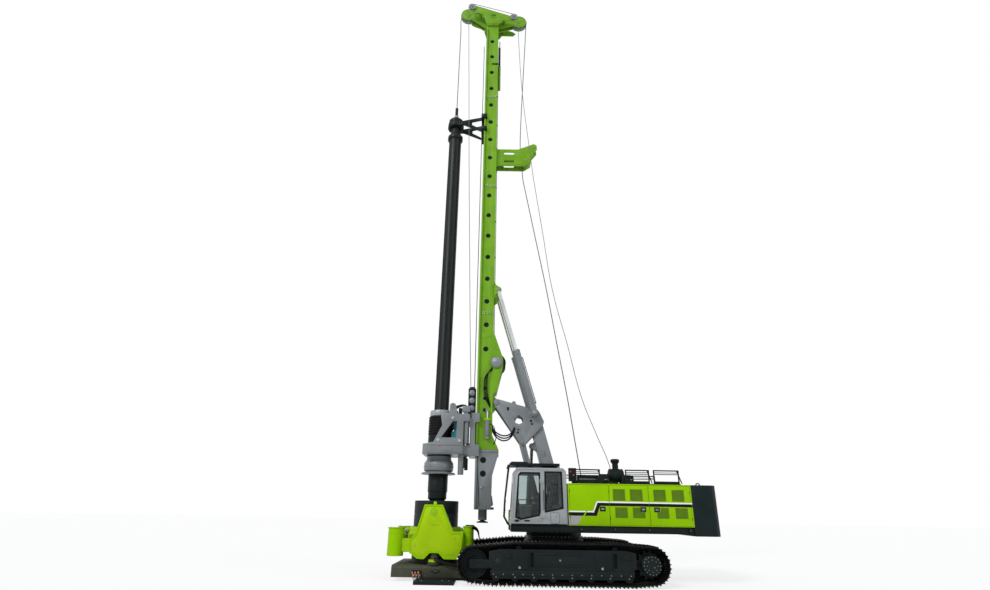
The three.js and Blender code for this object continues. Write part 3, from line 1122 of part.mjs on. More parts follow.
// ---------------------------------------------------------------- the whole machine
const undercarriage = group([
  piece('car_body', carBody(), BLACK()),
  trackGroup(-1, 'left'),
  trackGroup(1, 'right'),
  piece('coupler_frame', coupler(), BLACK()),
]);
const oscillator = group([
  piece('oscillator_base', oscillatorBase(), DARK()),
  piece('oscillator_frame', oscillatorFrame(), LIME()),
  piece('clamp_collar', clampCollar(), LIME()),
  piece('casing_tube', casingTube(), DARK()),
], KELLY_X);
const doors = [
  ['left', -1, doorBays], ['right', 1, doorBays.slice(1)],
].flatMap(([side, sign, bays]) => bays.map((bay) => piece(
  `hood_door_${side}_${bay.name}`, hoodDoor(bay, sign), LIME(),
)));
const upper = group([
  piece('slew_frame', slewFrame(), BLACK()),
  piece('cab_shell', cabShell(), GREY()),
  piece('cab_door', cabDoor(), GREY()),
  piece('cab_guard', cabGuard(), BLACK()),
  piece('operator_seat', operatorSeat(), BLACK()),
  piece('hood_shell', hoodShell(), DARK()),
  ...doors,
  piece('side_box', sideBox(), LIME()),
  piece('engine_block', engineBlock(), GREY()),
  piece('counterweight', counterweight(), DARK()),
  piece('railing_left', railing(-1), BLACK()),
  piece('railing_right', railing(1), BLACK()),
  piece('air_cleaner', airCleaner(), BLACK()),
  piece('exhaust', exhaust(), BLACK()),
  piece('main_winch_drum', winchDrum(WINCH.mainX, WINCH.mainZ, WINCH.mainR), GREY()),
  piece('aux_winch_drum', winchDrum(WINCH.auxX, WINCH.auxZ, WINCH.auxR), GREY()),
]);
const linkage = group([
  piece('boom_arm', boomArm(), GREY()),
  piece('support_link', supportLink(), GREY()),
  piece('delta_frame', deltaFrame(), GREY()),
  luffRam(),
  mastRams(),
]);
const mast = group([
  piece('mast', mastBody(), MAST_GREEN()),
  piece('lower_mast', lowerMast(), GREY()),
  piece('mast_head', mastHead(), MAST_GREEN()),
  piece('head_sheave_front', headSheave(HEAD.frontX, HEAD.frontZ), DARK()),
  piece('head_sheave_rear', headSheave(HEAD.rearX, HEAD.rearZ), DARK()),
  piece('rope_guide', ropeGuide(), MAST_GREEN()),
  piece('crowd_winch_drum', crowdDrum(), GREY()),
]);
const drilling = group([
  piece('drive_frame', driveFrame(), GREY()),
  piece('drive_motors', driveMotors(), TEAL()),
  piece('drive_sleeve', driveSleeve(), BLACK()),
  piece('kelly_guide', kellyGuide(), BLACK()),
  piece('kelly_bar', kellyBar(), DARK()),
]);
const foremost = KELLY_X + FRONT_POST.x - FRONT_POST.r - 18;
const rig = group([undercarriage, oscillator, upper, linkage, mast, drilling], -(foremost + WEIGHT.rear) / 2);
rig.name = 'rotary_piling_rig';

export default rig;
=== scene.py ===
# %% [markdown]
# # Rotary piling rig with a casing oscillator
# A piling rig drills deep round holes for foundation piles. A tall mast carries a drive that
# turns a long square-shouldered bar, and the oscillator in front of the tracks presses a steel
# casing down. This lesson dresses the machine: its measured frame is loaded first and never
# moved, and every cell after that adds the looks of one piece in its place.

# %% Load the measured frame
import json
import math

import bmesh
import bpy
from mathutils import Matrix, Vector

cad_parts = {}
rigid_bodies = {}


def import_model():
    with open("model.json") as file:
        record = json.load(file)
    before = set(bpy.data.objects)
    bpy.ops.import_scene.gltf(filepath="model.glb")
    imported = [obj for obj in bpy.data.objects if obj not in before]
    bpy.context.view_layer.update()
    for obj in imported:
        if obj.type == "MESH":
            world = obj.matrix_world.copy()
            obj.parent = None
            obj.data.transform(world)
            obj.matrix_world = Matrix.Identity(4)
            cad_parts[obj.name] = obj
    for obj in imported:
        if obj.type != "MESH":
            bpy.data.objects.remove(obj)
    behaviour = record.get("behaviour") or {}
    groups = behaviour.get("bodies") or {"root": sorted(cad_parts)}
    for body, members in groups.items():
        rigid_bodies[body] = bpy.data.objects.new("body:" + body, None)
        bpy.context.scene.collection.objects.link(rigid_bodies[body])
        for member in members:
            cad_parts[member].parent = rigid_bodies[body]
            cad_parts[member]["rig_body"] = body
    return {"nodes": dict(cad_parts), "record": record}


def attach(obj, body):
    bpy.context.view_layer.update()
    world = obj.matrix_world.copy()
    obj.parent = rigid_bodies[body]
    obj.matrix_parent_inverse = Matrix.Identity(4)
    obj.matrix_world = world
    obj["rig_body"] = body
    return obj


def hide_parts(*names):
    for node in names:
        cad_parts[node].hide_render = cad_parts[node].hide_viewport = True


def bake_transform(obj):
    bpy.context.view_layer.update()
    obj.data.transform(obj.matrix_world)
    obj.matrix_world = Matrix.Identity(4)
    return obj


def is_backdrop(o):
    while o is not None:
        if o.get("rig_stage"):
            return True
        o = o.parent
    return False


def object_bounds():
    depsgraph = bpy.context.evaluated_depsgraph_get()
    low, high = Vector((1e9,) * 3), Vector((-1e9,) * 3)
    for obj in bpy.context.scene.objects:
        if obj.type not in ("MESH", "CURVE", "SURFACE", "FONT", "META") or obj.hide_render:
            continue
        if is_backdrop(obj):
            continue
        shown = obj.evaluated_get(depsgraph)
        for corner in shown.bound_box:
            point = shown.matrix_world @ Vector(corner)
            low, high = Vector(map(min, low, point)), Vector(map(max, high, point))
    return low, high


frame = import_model()
NODES = frame["nodes"]
SCENE = bpy.context.scene
FRAME_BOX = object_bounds()
SLEW_X = frame["record"]["behaviour"]["joints"][0]["pos_m"][0]
print("pieces in the frame:", len(NODES))

# %% [markdown]
# ## Camera and light
# The camera stands low beside the machine and looks up, so the mast narrows towards its head. The
# floor and the sky are pale and plain. Light Path shows white behind the machine while the light
# that falls on it stays soft, so colours look as they are written.

# %% Camera
camera_data = bpy.data.cameras.new("camera")
camera_data.lens = 19.636
camera_data.sensor_width = 36.0
camera_data.clip_end = 500
camera = bpy.data.objects.new("camera", camera_data)
camera.matrix_world = (Matrix.Translation((-1.817, -18.7, 1.85))
    @ Matrix.Rotation(math.radians(112), 4, "X") @ Matrix.Rotation(0.0155, 4, "Z"))
SCENE.collection.objects.link(camera)
SCENE.camera = camera
SCENE.view_settings.view_transform = "Standard"
print("camera placed")

# %% Small tools for shaders
def make(tree, kind, inputs=None, **settings):
    """A shader node with its settings; each input is a constant or the socket that feeds it."""
    node = tree.nodes.new("ShaderNode" + kind)
    for key, value in settings.items():
        setattr(node, key, value)
    feed(tree, node, inputs or {})
    return node


def feed(tree, node, inputs):
    for key, value in inputs.items():
        if isinstance(value, bpy.types.NodeSocket):
            tree.links.new(value, node.inputs[key])
        else:
            node.inputs[key].default_value = value


def math_node(tree, operation, a, b, clamp=False):
    return make(tree, "Math", {0: a, 1: b}, operation=operation, use_clamp=clamp).outputs[0]


def mix_colours(tree, share, a, b):
    return make(tree, "Mix", {"Factor": share, "A": a, "B": b}, data_type="RGBA").outputs["Result"]


def noise_value(tree, vector, scale, detail=3.0, roughness=0.55):
    return make(tree, "TexNoise", {"Vector": vector, "Scale": scale, "Detail": detail,
        "Roughness": roughness}).outputs["Fac"]


def between(tree, value, low, high):
    """0 below low and 1 above high, smooth between them."""
    return make(tree, "MapRange", {"Value": value, "From Min": low, "From Max": high},
        interpolation_type="SMOOTHSTEP").outputs["Result"]


def ramp(tree, value, low, high):
    """Runs from one colour to another as value goes from 0 to 1."""
    node = make(tree, "ValToRGB", {0: value})
    for stop, colour in zip(node.color_ramp.elements, (low, high)):
        stop.color = (*colour, 1)
    return node.outputs[0]


def seen_directly(tree):
    """1 where the eye, a mirror or a pane looks at the surface itself."""
    ray = make(tree, "LightPath").outputs
    seen = math_node(tree, "MAXIMUM", ray["Is Camera Ray"], ray["Is Glossy Ray"])
    return math_node(tree, "MAXIMUM", seen, ray["Is Transmission Ray"])


def new_material(name, inputs):
    material = bpy.data.materials.new(name)
    material.use_nodes = True
    feed(material.node_tree, material.node_tree.nodes["Principled BSDF"], inputs)
    return material, material.node_tree, material.node_tree.nodes["Principled BSDF"]


print("shader tools ready")

# %% Sky, lamps and floor
WHITE = (1, 1, 1, 1)
sky = bpy.data.worlds.new("sky")
SCENE.world = sky
sky.use_nodes = True
tree = sky.node_tree
tree.nodes.clear()
soft_light = make(tree, "Background", {"Color": (0.93, 0.96, 1.0, 1), "Strength": 0.62})
white_ground = make(tree, "Background", {"Color": WHITE, "Strength": 1.0})
sky_mix = make(tree, "MixShader", {0: seen_directly(tree), 1: soft_light.outputs[0],
    2: white_ground.outputs[0]})
make(tree, "OutputWorld", {0: sky_mix.outputs[0]})
for name, strength, spread, tilt, heading in [("sun_front", 1.9, 0.30, 52, -38),
                                              ("sun_side", 0.55, 0.60, 60, 60)]:
    lamp_data = bpy.data.lights.new(name, "SUN")
    lamp_data.energy = strength
    lamp_data.angle = spread
    lamp = bpy.data.objects.new(name, lamp_data)
    lamp.rotation_euler = (math.radians(tilt), 0, math.radians(heading))
    SCENE.collection.objects.link(lamp)
floor_bm = bmesh.new()
bmesh.ops.create_grid(floor_bm, x_segments=1, y_segments=1, size=150)
floor_mesh = bpy.data.meshes.new("floor")
floor_bm.to_mesh(floor_mesh)
floor_bm.free()
floor = bpy.data.objects.new("floor", floor_mesh)
SCENE.collection.objects.link(floor)
floor_paint, tree, floor_shader = new_material("pale_floor", {"Base Color": (0.86, 0.86, 0.85, 1),
    "Roughness": 0.9, "Specular IOR Level": 0.1})
# The eye sees a brighter floor, so it meets the white sky without a line.
floor_glow = make(tree, "Emission", {"Color": WHITE, "Strength": 1.0})
floor_mix = make(tree, "MixShader", {0: math_node(tree, "MULTIPLY", seen_directly(tree), 0.75),
    1: floor_shader.outputs[0], 2: floor_glow.outputs[0]})
feed(tree, tree.nodes["Material Output"], {"Surface": floor_mix.outputs[0]})
floor_mesh.materials.append(floor_paint)
floor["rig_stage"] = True
print("floor, sky and two lamps")

# %% [markdown]
# ## Effects that many finishes share
# Painted steel on a site is never one colour: it is mottled, chipped bright along its edges and
# dusty near the ground. One node group makes all of that, and each finish gives it its own
# colours and amounts. The bevel of a piece carries an "edge" value, so chips stay on real
# corners.

# %% Node group: site wear
wear = bpy.data.node_groups.new("site_wear", "ShaderNodeTree")
for label, kind, value in [
    ("Paint", "Color", (0.5, 0.5, 0.5, 1)), ("Mottled", "Color", (0.4, 0.4, 0.4, 1)),
    ("Bare", "Color", (0.2, 0.2, 0.2, 1)), ("Dust", "Color", (0.45, 0.40, 0.33, 1)),
    ("Chips", "Float", 0.3), ("Dustiness", "Float", 0.2), ("Roughness", "Float", 0.4),
    ("Grain Scale", "Float", 60.0), ("Grain Height", "Float", 0.15),
]:
    wear.interface.new_socket(label, in_out="INPUT",
        socket_type="NodeSocket" + kind).default_value = value
for label, kind in [("Color", "Color"), ("Roughness", "Float"), ("Normal", "Vector")]:
    wear.interface.new_socket(label, in_out="OUTPUT", socket_type="NodeSocket" + kind)
given = wear.nodes.new("NodeGroupInput").outputs
where = make(wear, "TexCoord").outputs["Object"]
mottle = between(wear, noise_value(wear, where, 1.7, 5), 0.38, 0.66)
stretched = make(wear, "Mapping", {"Vector": where, "Scale": (7.0, 7.0, 0.8)}).outputs[0]
streaks = between(wear, noise_value(wear, stretched, 1.6, 4), 0.52, 0.78)
corners = make(wear, "Attribute", attribute_name="edge").outputs["Fac"]
chips = between(wear, noise_value(wear, where, 22.0, 6, 0.7), 0.44, 0.60)
specks = between(wear, noise_value(wear, where, 15.0, 7, 0.72), 0.69, 0.73)
chip_mask = math_node(wear, "MAXIMUM", math_node(wear, "MULTIPLY", corners, chips),
    math_node(wear, "MULTIPLY", specks, 0.45))
chip_mask = math_node(wear, "MULTIPLY", chip_mask, given["Chips"], clamp=True)
height = make(wear, "SeparateXYZ", {0: where}).outputs["Z"]
near_ground = make(wear, "MapRange", {"Value": height, "From Min": 1.9,
    "From Max": 0.05}).outputs[0]
upward = make(wear, "SeparateXYZ", {0: make(wear, "NewGeometry").outputs["Normal"]}).outputs["Z"]
flat_top = between(wear, upward, 0.55, 0.95)
settled = math_node(wear, "ADD", near_ground, math_node(wear, "MULTIPLY", flat_top, 0.6))
settled = math_node(wear, "ADD", settled, math_node(wear, "MULTIPLY", streaks, 0.35))
patchy = math_node(wear, "ADD", noise_value(wear, where, 4.5, 6, 0.65), 0.25)
dust_mask = math_node(wear, "MULTIPLY", math_node(wear, "MULTIPLY", settled, patchy),
    given["Dustiness"], clamp=True)
coat = mix_colours(wear, mottle, given["Paint"], given["Mottled"])
chipped = mix_colours(wear, chip_mask, coat, given["Bare"])
rough = math_node(wear, "ADD", given["Roughness"], math_node(wear, "MULTIPLY", dust_mask, 0.45))
rough = math_node(wear, "ADD", rough, math_node(wear, "MULTIPLY", mottle, 0.07), clamp=True)
grain = noise_value(wear, where, given["Grain Scale"], 4)
grain = math_node(wear, "SUBTRACT", grain, math_node(wear, "MULTIPLY", chip_mask, 0.7))
bump = make(wear, "Bump", {"Distance": 0.002, "Strength": given["Grain Height"], "Height": grain})
feed(wear, wear.nodes.new("NodeGroupOutput"), {"Color": mix_colours(wear, dust_mask, chipped,
    given["Dust"]), "Roughness": rough, "Normal": bump.outputs[0]})
print("group site_wear:", len(wear.nodes), "nodes")

# %% [markdown]
# Each finish below is one Principled shader fed by the group: lime and green machine paint, greys
# for the linkage and cab, near-black for the base, then bare and oily metals. The greys have a
# thin clear coat.

# %% Painted and metal finishes
def worn_finish(name, paint, mottled, roughness=0.42, metallic=0.0, chips=0.5, dust=0.25, coat=0.0,
                bare=(0.10, 0.10, 0.10), grain=60.0, height=0.12, shine=0.5):
    material, tree, shader = new_material(name, {"Metallic": metallic, "Specular IOR Level": shine,
        "Coat Weight": coat, "Coat Roughness": 0.18})
    use = make(tree, "Group", node_tree=wear)
    feed(tree, use, {"Paint": (*paint, 1), "Mottled": (*mottled, 1), "Bare": (*bare, 1),
        "Dust": (0.30, 0.26, 0.20, 1), "Chips": chips, "Dustiness": dust, "Roughness": roughness,
        "Grain Scale": grain, "Grain Height": height})
    feed(tree, shader, {"Base Color": use.outputs["Color"], "Roughness": use.outputs["Roughness"],
        "Normal": use.outputs["Normal"]})
    return material


lime = worn_finish("lime_paint", (0.232, 0.450, 0.0), (0.215, 0.425, 0.0), 0.38, dust=0.0,
    chips=0.2, shine=0.06)
osc_lime = worn_finish("oscillator_lime", (0.315, 0.500, 0.002), (0.275, 0.445, 0.002), 0.42,
    chips=0.5, dust=0.02, shine=0.08)
mast_green = worn_finish("mast_green_paint", (0.150, 0.330, 0.012), (0.128, 0.285, 0.012), 0.42,
    chips=0.3, dust=0.02, shine=0.15)
arm_grey = worn_finish("arm_grey_paint", (0.158, 0.175, 0.182), (0.138, 0.154, 0.162), 0.38,
    coat=0.1, chips=0.3, dust=0.04, shine=0.4)
cab_grey = worn_finish("cab_grey_paint", (0.255, 0.275, 0.285), (0.235, 0.255, 0.265), 0.32,
    coat=0.2, dust=0.04, chips=0.2, shine=0.4)
black_paint = worn_finish("black_paint", (0.0035, 0.0075, 0.0080), (0.006, 0.011, 0.0115), 0.42,
    chips=0.3, dust=0.01, bare=(0.05, 0.05, 0.05), shine=0.12)
dark_paint = worn_finish("dark_frame_paint", (0.0045, 0.0105, 0.0105), (0.007, 0.014, 0.014), 0.45,
    chips=0.3, dust=0.02, bare=(0.05, 0.06, 0.06), shine=0.10)
track_steel = worn_finish("track_steel", (0.0022, 0.0030, 0.0032), (0.005, 0.0055, 0.0055), 0.50,
    0.05, chips=0.5, dust=0.01, bare=(0.06, 0.055, 0.045), grain=35.0, height=0.3, shine=0.10)
casing_steel = worn_finish("casing_steel", (0.007, 0.012, 0.010), (0.013, 0.016, 0.014), 0.50, 0.1,
    chips=0.4, dust=0.02, bare=(0.09, 0.085, 0.075), grain=30.0, height=0.3, shine=0.2)
kelly_steel = worn_finish("kelly_steel", (0.004, 0.0075, 0.008), (0.010, 0.012, 0.012), 0.40, 0.1,
    chips=0.4, dust=0.01, bare=(0.06, 0.055, 0.05), grain=45.0, height=0.2, shine=0.16)
cast_grey = worn_finish("cast_grey", (0.20, 0.22, 0.23), (0.16, 0.18, 0.19), 0.45, 0.3, chips=0.4,
    dust=0.05, bare=(0.35, 0.35, 0.35), shine=0.3)
chrome = worn_finish("rod_chrome", (0.62, 0.63, 0.64), (0.54, 0.55, 0.56), 0.12, 1.0, chips=0.0,
    dust=0.03, grain=140.0, height=0.03)
motor_teal = worn_finish("motor_teal", (0.020, 0.210, 0.235), (0.026, 0.175, 0.195), 0.4, 0.1,
    chips=0.4, dust=0.03, shine=0.3)
fitting_steel = worn_finish("fitting_steel", (0.26, 0.27, 0.28), (0.18, 0.18, 0.19), 0.34, 0.8,
    chips=0.0, dust=0.08, grain=90.0)
olive_drab = worn_finish("olive_base_paint", (0.022, 0.030, 0.016), (0.034, 0.036, 0.022), 0.5,
    chips=0.6, dust=0.10, shine=0.2)
white_line = worn_finish("white_line_paint", (0.76, 0.75, 0.78), (0.70, 0.69, 0.72), 0.35,
    chips=0.1, dust=0.02, shine=0.3)
pale_cover = worn_finish("pale_cover_paint", (0.33, 0.36, 0.36), (0.27, 0.30, 0.30), 0.35, 0.1,
    chips=0.3, dust=0.05, shine=0.3)
rubber = worn_finish("rubber", (0.003, 0.003, 0.0032), (0.005, 0.005, 0.005), 0.62, chips=0.0,
    dust=0.02, grain=150.0, height=0.2, shine=0.12)
signal_red = worn_finish("signal_red", (0.48, 0.03, 0.02), (0.38, 0.025, 0.02), 0.25, chips=0.0,
    dust=0.02, coat=0.3)
orange_cap = worn_finish("orange_cap", (0.62, 0.19, 0.02), (0.50, 0.14, 0.02), 0.4, chips=0.1,
    dust=0.05)
panel_grey = worn_finish("panel_grey_paint", (0.30, 0.285, 0.30), (0.28, 0.265, 0.28), 0.35,
    chips=0.1, dust=0.02, shine=0.3)
print("painted and metal finishes ready")


# %% [markdown]
# Glass is thin and a little green, so the seat shows through it. Wire rope gets its twist from
# slanted bands across its length, and the seat cloth gets a fine weave from two crossed waves.

# %% Glass, rope and cloth
def object_noise(tree, scale, detail=3.0):
    return noise_value(tree, make(tree, "TexCoord").outputs["Object"], scale, detail)


def wave_of(tree, direction, scale):
    spot = make(tree, "TexCoord").outputs["Object"]
    return make(tree, "TexWave", {"Scale": scale, "Vector": spot},
        bands_direction=direction).outputs["Fac"]


glass, tree, shader = new_material("window_glass", {"Transmission Weight": 1.0, "IOR": 1.35})
haze = make(tree, "MapRange", {"Value": object_noise(tree, 5.0, 5), "To Min": 0.015,
    "To Max": 0.09})
feed(tree, shader, {"Roughness": haze.outputs[0], "Base Color": ramp(tree, object_noise(tree, 1.2),
    (0.55, 0.62, 0.62), (0.62, 0.70, 0.69))})
lens, tree, shader = new_material("lamp_lens", {"Coat Weight": 0.6, "Roughness": 0.12})
feed(tree, shader, {"Base Color": ramp(tree, object_noise(tree, 90.0), (0.50, 0.52, 0.52),
    (0.78, 0.80, 0.80))})
rope_finish, tree, shader = new_material("wire_rope", {"Metallic": 0.6, "Roughness": 0.45})
strands = wave_of(tree, "DIAGONAL", 9.0)
bump = make(tree, "Bump", {"Strength": 0.6, "Distance": 0.003, "Height": strands})
feed(tree, shader, {"Base Color": ramp(tree, strands, (0.035, 0.037, 0.038), (0.13, 0.135, 0.135)),
    "Normal": bump.outputs[0]})
cloth, tree, shader = new_material("seat_cloth", {"Roughness": 0.85, "Sheen Weight": 0.25})
weave = math_node(tree, "MULTIPLY", wave_of(tree, "X", 90.0), wave_of(tree, "Z", 90.0))
worn = math_node(tree, "ADD", weave, math_node(tree, "MULTIPLY", object_noise(tree, 14.0), 0.25))
bump = make(tree, "Bump", {"Strength": 0.4, "Distance": 0.001, "Height": weave})
feed(tree, shader, {"Base Color": ramp(tree, worn, (0.020, 0.022, 0.026), (0.060, 0.066, 0.075)),
    "Normal": bump.outputs[0]})
print("glass, lens, rope and cloth")

# %% [markdown]
# ## Shaping tools
# Sizes are in millimetres from the slewing axis and the ground, as a drawing gives them. A few
# helpers make the usual shapes of plate work: a block with eased edges, a plate cut to an
# outline, a turned piece, a round bar, and a hose or rope along points. Each comes back as a
# small bmesh.

# %% Helpers for shapes
MM = 0.001


def at(x, y, z):
    """A drawing point in the frame, in metres."""
    return Vector((x * MM + SLEW_X, y * MM, z * MM))


def ease_edges(bm, width, segments=2, sharper_than=32):
    """Rounds the sharp edges and marks the new faces, where paint chips first."""
    mark = bm.faces.layers.float.get("edge") or bm.faces.layers.float.new("edge")
    limit = math.radians(sharper_than)
    sharp = [e for e in bm.edges if len(e.link_faces) == 2 and e.calc_face_angle(0) > limit]
    if not sharp:
        return
    made = bmesh.ops.bevel(bm, geom=sharp, offset=width * MM, offset_type="OFFSET", affect="EDGES",
        segments=segments, profile=0.5, clamp_overlap=True, material=-1)
    for face in made["faces"]:
        face[mark] = 1.0


def block(one, other, ease=6, segments=2):
    """A box between two opposite corners, given in any order."""
    bm = bmesh.new()
    bmesh.ops.create_cube(bm, size=1)
    a, b = at(*map(min, one, other)), at(*map(max, one, other))
    bmesh.ops.scale(bm, vec=b - a, verts=bm.verts)
    bmesh.ops.translate(bm, vec=(a + b) / 2, verts=bm.verts)
    if ease:
        ease_edges(bm, ease, segments)
    return bm


PLANES = {"y": lambda u, v, w: at(u, w, v), "x": lambda u, v, w: at(w, u, v),
    "z": lambda u, v, w: at(u, v, w)}


def plate(outline, start, end, along="y", ease=4, segments=2):
    """A plate cut to an outline: (x, z) along y, (y, z) along x, or (x, y) along z."""
    bm = bmesh.new()
    ring = [bm.verts.new(PLANES[along](u, v, start)) for u, v in outline]
    face = bm.faces.new(ring)
    grown = bmesh.ops.extrude_face_region(bm, geom=[face])["geom"]
    push = PLANES[along](0, 0, end) - PLANES[along](0, 0, start)
    bmesh.ops.translate(bm, vec=push, verts=[g for g in grown if isinstance(g, bmesh.types.BMVert)])
    bmesh.ops.recalc_face_normals(bm, faces=bm.faces)
    if ease:
        ease_edges(bm, ease, segments)
    return bm


def rod(a, b, radius, sides=20, ease=0, radius_end=None):
    """A round bar between two drawing points."""
    bm = bmesh.new()
    start, end = at(*a), at(*b)
    bmesh.ops.create_cone(bm, cap_ends=True, cap_tris=False, segments=sides, radius1=radius * MM,
        radius2=(radius if radius_end is None else radius_end) * MM, depth=(end - start).length)
    turn = (end - start).to_track_quat("Z", "Y").to_matrix().to_4x4()
    bmesh.ops.transform(bm, matrix=Matrix.Translation((start + end) / 2) @ turn, verts=bm.verts)
    if ease:
        ease_edges(bm, ease, 2, 50)
    return bm


AXES = {"z": Matrix.Identity(4), "y": Matrix.Rotation(math.radians(-90), 4, "X"),
    "x": Matrix.Rotation(math.radians(90), 4, "Y")}


def turned(profile, centre, axis="z", sides=48):
    """Spins a profile of (radius, height) about an axis, by name or as a direction."""
    bm = bmesh.new()
    line = [bm.verts.new((r * MM, 0, h * MM)) for r, h in profile]
    for p, q in zip(line, line[1:]):
        bm.edges.new((p, q))
    bmesh.ops.spin(bm, geom=bm.verts[:] + bm.edges[:], cent=(0, 0, 0), axis=(0, 0, 1),
        dvec=(0, 0, 0), angle=2 * math.pi, steps=sides, use_merge=True, use_duplicate=False)
    bmesh.ops.remove_doubles(bm, verts=bm.verts, dist=1e-5)
    if isinstance(axis, str):
        turn = AXES[axis]
    else:
        turn = axis.to_track_quat("Z", "Y").to_matrix().to_4x4()
    bmesh.ops.transform(bm, matrix=Matrix.Translation(at(*centre)) @ turn, verts=bm.verts)
    bmesh.ops.recalc_face_normals(bm, faces=bm.faces)
    return bm


def hollow(profile):
    """Closes a profile on itself, for a ring or a tube."""
    return profile + [profile[0]]


def washer(inner, outer, start, end, centre, axis="z", sides=48):
    """A plain ring between two radii and two heights."""
    return turned(hollow([(inner, start), (outer, start), (outer, end), (inner, end)]), centre,
        axis, sides)


def pin(x, z, start, end, radius, sides=20, ease=0):
    """A round bar straight across the machine."""
    return rod((x, start, z), (x, end, z), radius, sides, ease)


def bolts(centre, radius, count, size, height, axis="z", start=0.0, sides=6):
    """Bolt heads on a circle; height may be negative to stand on the other side."""
    whole = bmesh.new()
    for k in range(count):
        angle = start + 2 * math.pi * k / count
        u, v = radius * math.cos(angle), radius * math.sin(angle)
        x, y, z = centre
        a = {"z": (x + u, y + v, z), "y": (x + u, y, z + v), "x": (x, y + u, z + v)}[axis]
        b = {"z": (a[0], a[1], a[2] + height), "y": (a[0], a[1] + height, a[2]),
            "x": (a[0] + height, a[1], a[2])}[axis]
        put(whole, rod(a, b, size, sides))
    return whole


def put(whole, part, material=0):
    """Adds a small shape to a larger one, with the number of its finish."""
    for face in part.faces:
        face.material_index = material
    mesh = bpy.data.meshes.new("part")
    part.to_mesh(mesh)
    part.free()
    whole.from_mesh(mesh)
    bpy.data.meshes.remove(mesh)
    return whole


def gather(*parts):
    """Several shapes in one; each is a shape, or a shape with the number of its finish."""
    whole = bmesh.new()
    whole.faces.layers.float.new("edge")
    for part in parts:
        put(whole, *(part if isinstance(part, tuple) else (part, 0)))
    return whole


def show(bm, name, materials, body, smooth=38):
    """Makes a finished shape a named piece that moves with its body."""
    limit = math.radians(smooth)
    for face in bm.faces:
        face.smooth = True
    for e in bm.edges:
        e.smooth = len(e.link_faces) == 2 and e.calc_face_angle(0) < limit
    mesh = bpy.data.meshes.new(name)
    bm.to_mesh(mesh)
    bm.free()
    for material in materials if isinstance(materials, list) else [materials]:
        mesh.materials.append(material)
    piece = bpy.data.objects.new(name, mesh)
    SCENE.collection.objects.link(piece)
    if body:
        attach(piece, body)
    return piece


def hose(name, runs, radius, material, body, sides=3):
    """Round hoses or ropes; each run is a list of drawing points on one smooth line."""
    curve = bpy.data.curves.new(name, "CURVE")
    curve.dimensions = "3D"
    curve.bevel_depth = radius * MM
    curve.bevel_resolution = sides
    curve.resolution_u = 8
    curve.use_fill_caps = True
    for run in runs:
        spline = curve.splines.new("BEZIER")
        spline.bezier_points.add(len(run) - 1)
        for knot, point in zip(spline.bezier_points, run):
            knot.co = at(*point)
            knot.handle_left_type = knot.handle_right_type = "AUTO"
    holder = bpy.data.objects.new(name + "_line", curve)
    SCENE.collection.objects.link(holder)
    bpy.context.view_layer.update()
    smooth_line = holder.evaluated_get(bpy.context.evaluated_depsgraph_get())
    mesh = bpy.data.meshes.new_from_object(smooth_line)
    bpy.data.objects.remove(holder)
    bpy.data.curves.remove(curve)
    bm = bmesh.new()
    bm.from_mesh(mesh)
    bpy.data.meshes.remove(mesh)
    bmesh.ops.remove_doubles(bm, verts=bm.verts, dist=1e-6)
    bmesh.ops.recalc_face_normals(bm, faces=bm.faces)
    return show(bm, name, material, body, 60)


print("helpers ready")

# %% [markdown]
# ## Plate work with eased edges
# Welded plate has no knife edges, so the frame's flat pieces are copied, their triangles are
# joined into whole faces and their corners are rounded by a few millimetres. The copy then stands
# for the piece, and light picks out every edge.

# %% Copies with eased corners
def eased_copy(node, material, width=8, extra=None, materials=None):
    bm = bmesh.new()
    bm.from_mesh(NODES[node].data)
    bmesh.ops.remove_doubles(bm, verts=bm.verts, dist=2e-5)
    bmesh.ops.dissolve_limit(bm, angle_limit=math.radians(1.0), verts=bm.verts, edges=bm.edges,
        use_dissolve_boundaries=False)
    ease_edges(bm, width, 2)
    for face in bm.faces:
        face.material_index = 0
    for part in extra or []:
        put(bm, *(part if isinstance(part, tuple) else (part, 0)))
    piece = show(bm, node + "_finished", materials or material, NODES[node]["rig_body"])
    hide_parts(node)
    return piece


# %% [markdown]
# ## Crawler tracks
# A track is a chain of steel shoes that runs round the sprocket, the idler and the ground
# rollers. The path is the tight loop round those wheels, so it is taken from a hull of their
# circles. One shoe with two grousers and its chain links is shaped once and laid along the path.

# %% Track shoes
IDLER_X, IDLER_Z = -2440, 540
SPROCKET_X, SPROCKET_Z = 2480, 560
TRACK_CIRCLES = [(IDLER_X, IDLER_Z, 490), (SPROCKET_X, SPROCKET_Z, 515), (-1950, 200, 200),
    (1950, 200, 200), (-1300, 935, 200), (1600, 935, 200)]
TRACK_Y = 1800
SHOES = 58


def track_path(count):
    """Evenly spaced places on the loop, each with its forward and outward directions."""
    bm = bmesh.new()
    for x, z, r in TRACK_CIRCLES:
        for k in range(72):
            a = 2 * math.pi * k / 72
            bm.verts.new((x + r * math.cos(a), z + r * math.sin(a), 0))
    bmesh.ops.convex_hull(bm, input=bm.verts[:])
    corners = [v.co.xy.copy() for v in bm.verts if len(v.link_edges)]
    bm.free()
    centre = Vector((0, 560))
    corners.sort(key=lambda c: math.atan2(c.y - centre.y, c.x - centre.x))
    keep = []
    for c in corners:
        keep.append(c)
        while len(keep) > 2 and (keep[-2] - keep[-3]).cross(keep[-1] - keep[-2]) <= 1e-6:
            keep.pop(-2)
    sides = [(a, b, (b - a).length) for a, b in zip(keep, keep[1:] + keep[:1])]
    total = sum(length for *_, length in sides)
    places = []
    for k in range(count):
        left = total * k / count
        for a, b, length in sides:
            if left <= length:
                forward = (b - a).normalized()
                places.append((a + forward * left, forward, Vector((forward.y, -forward.x))))
                break
            left -= length
    return places, total


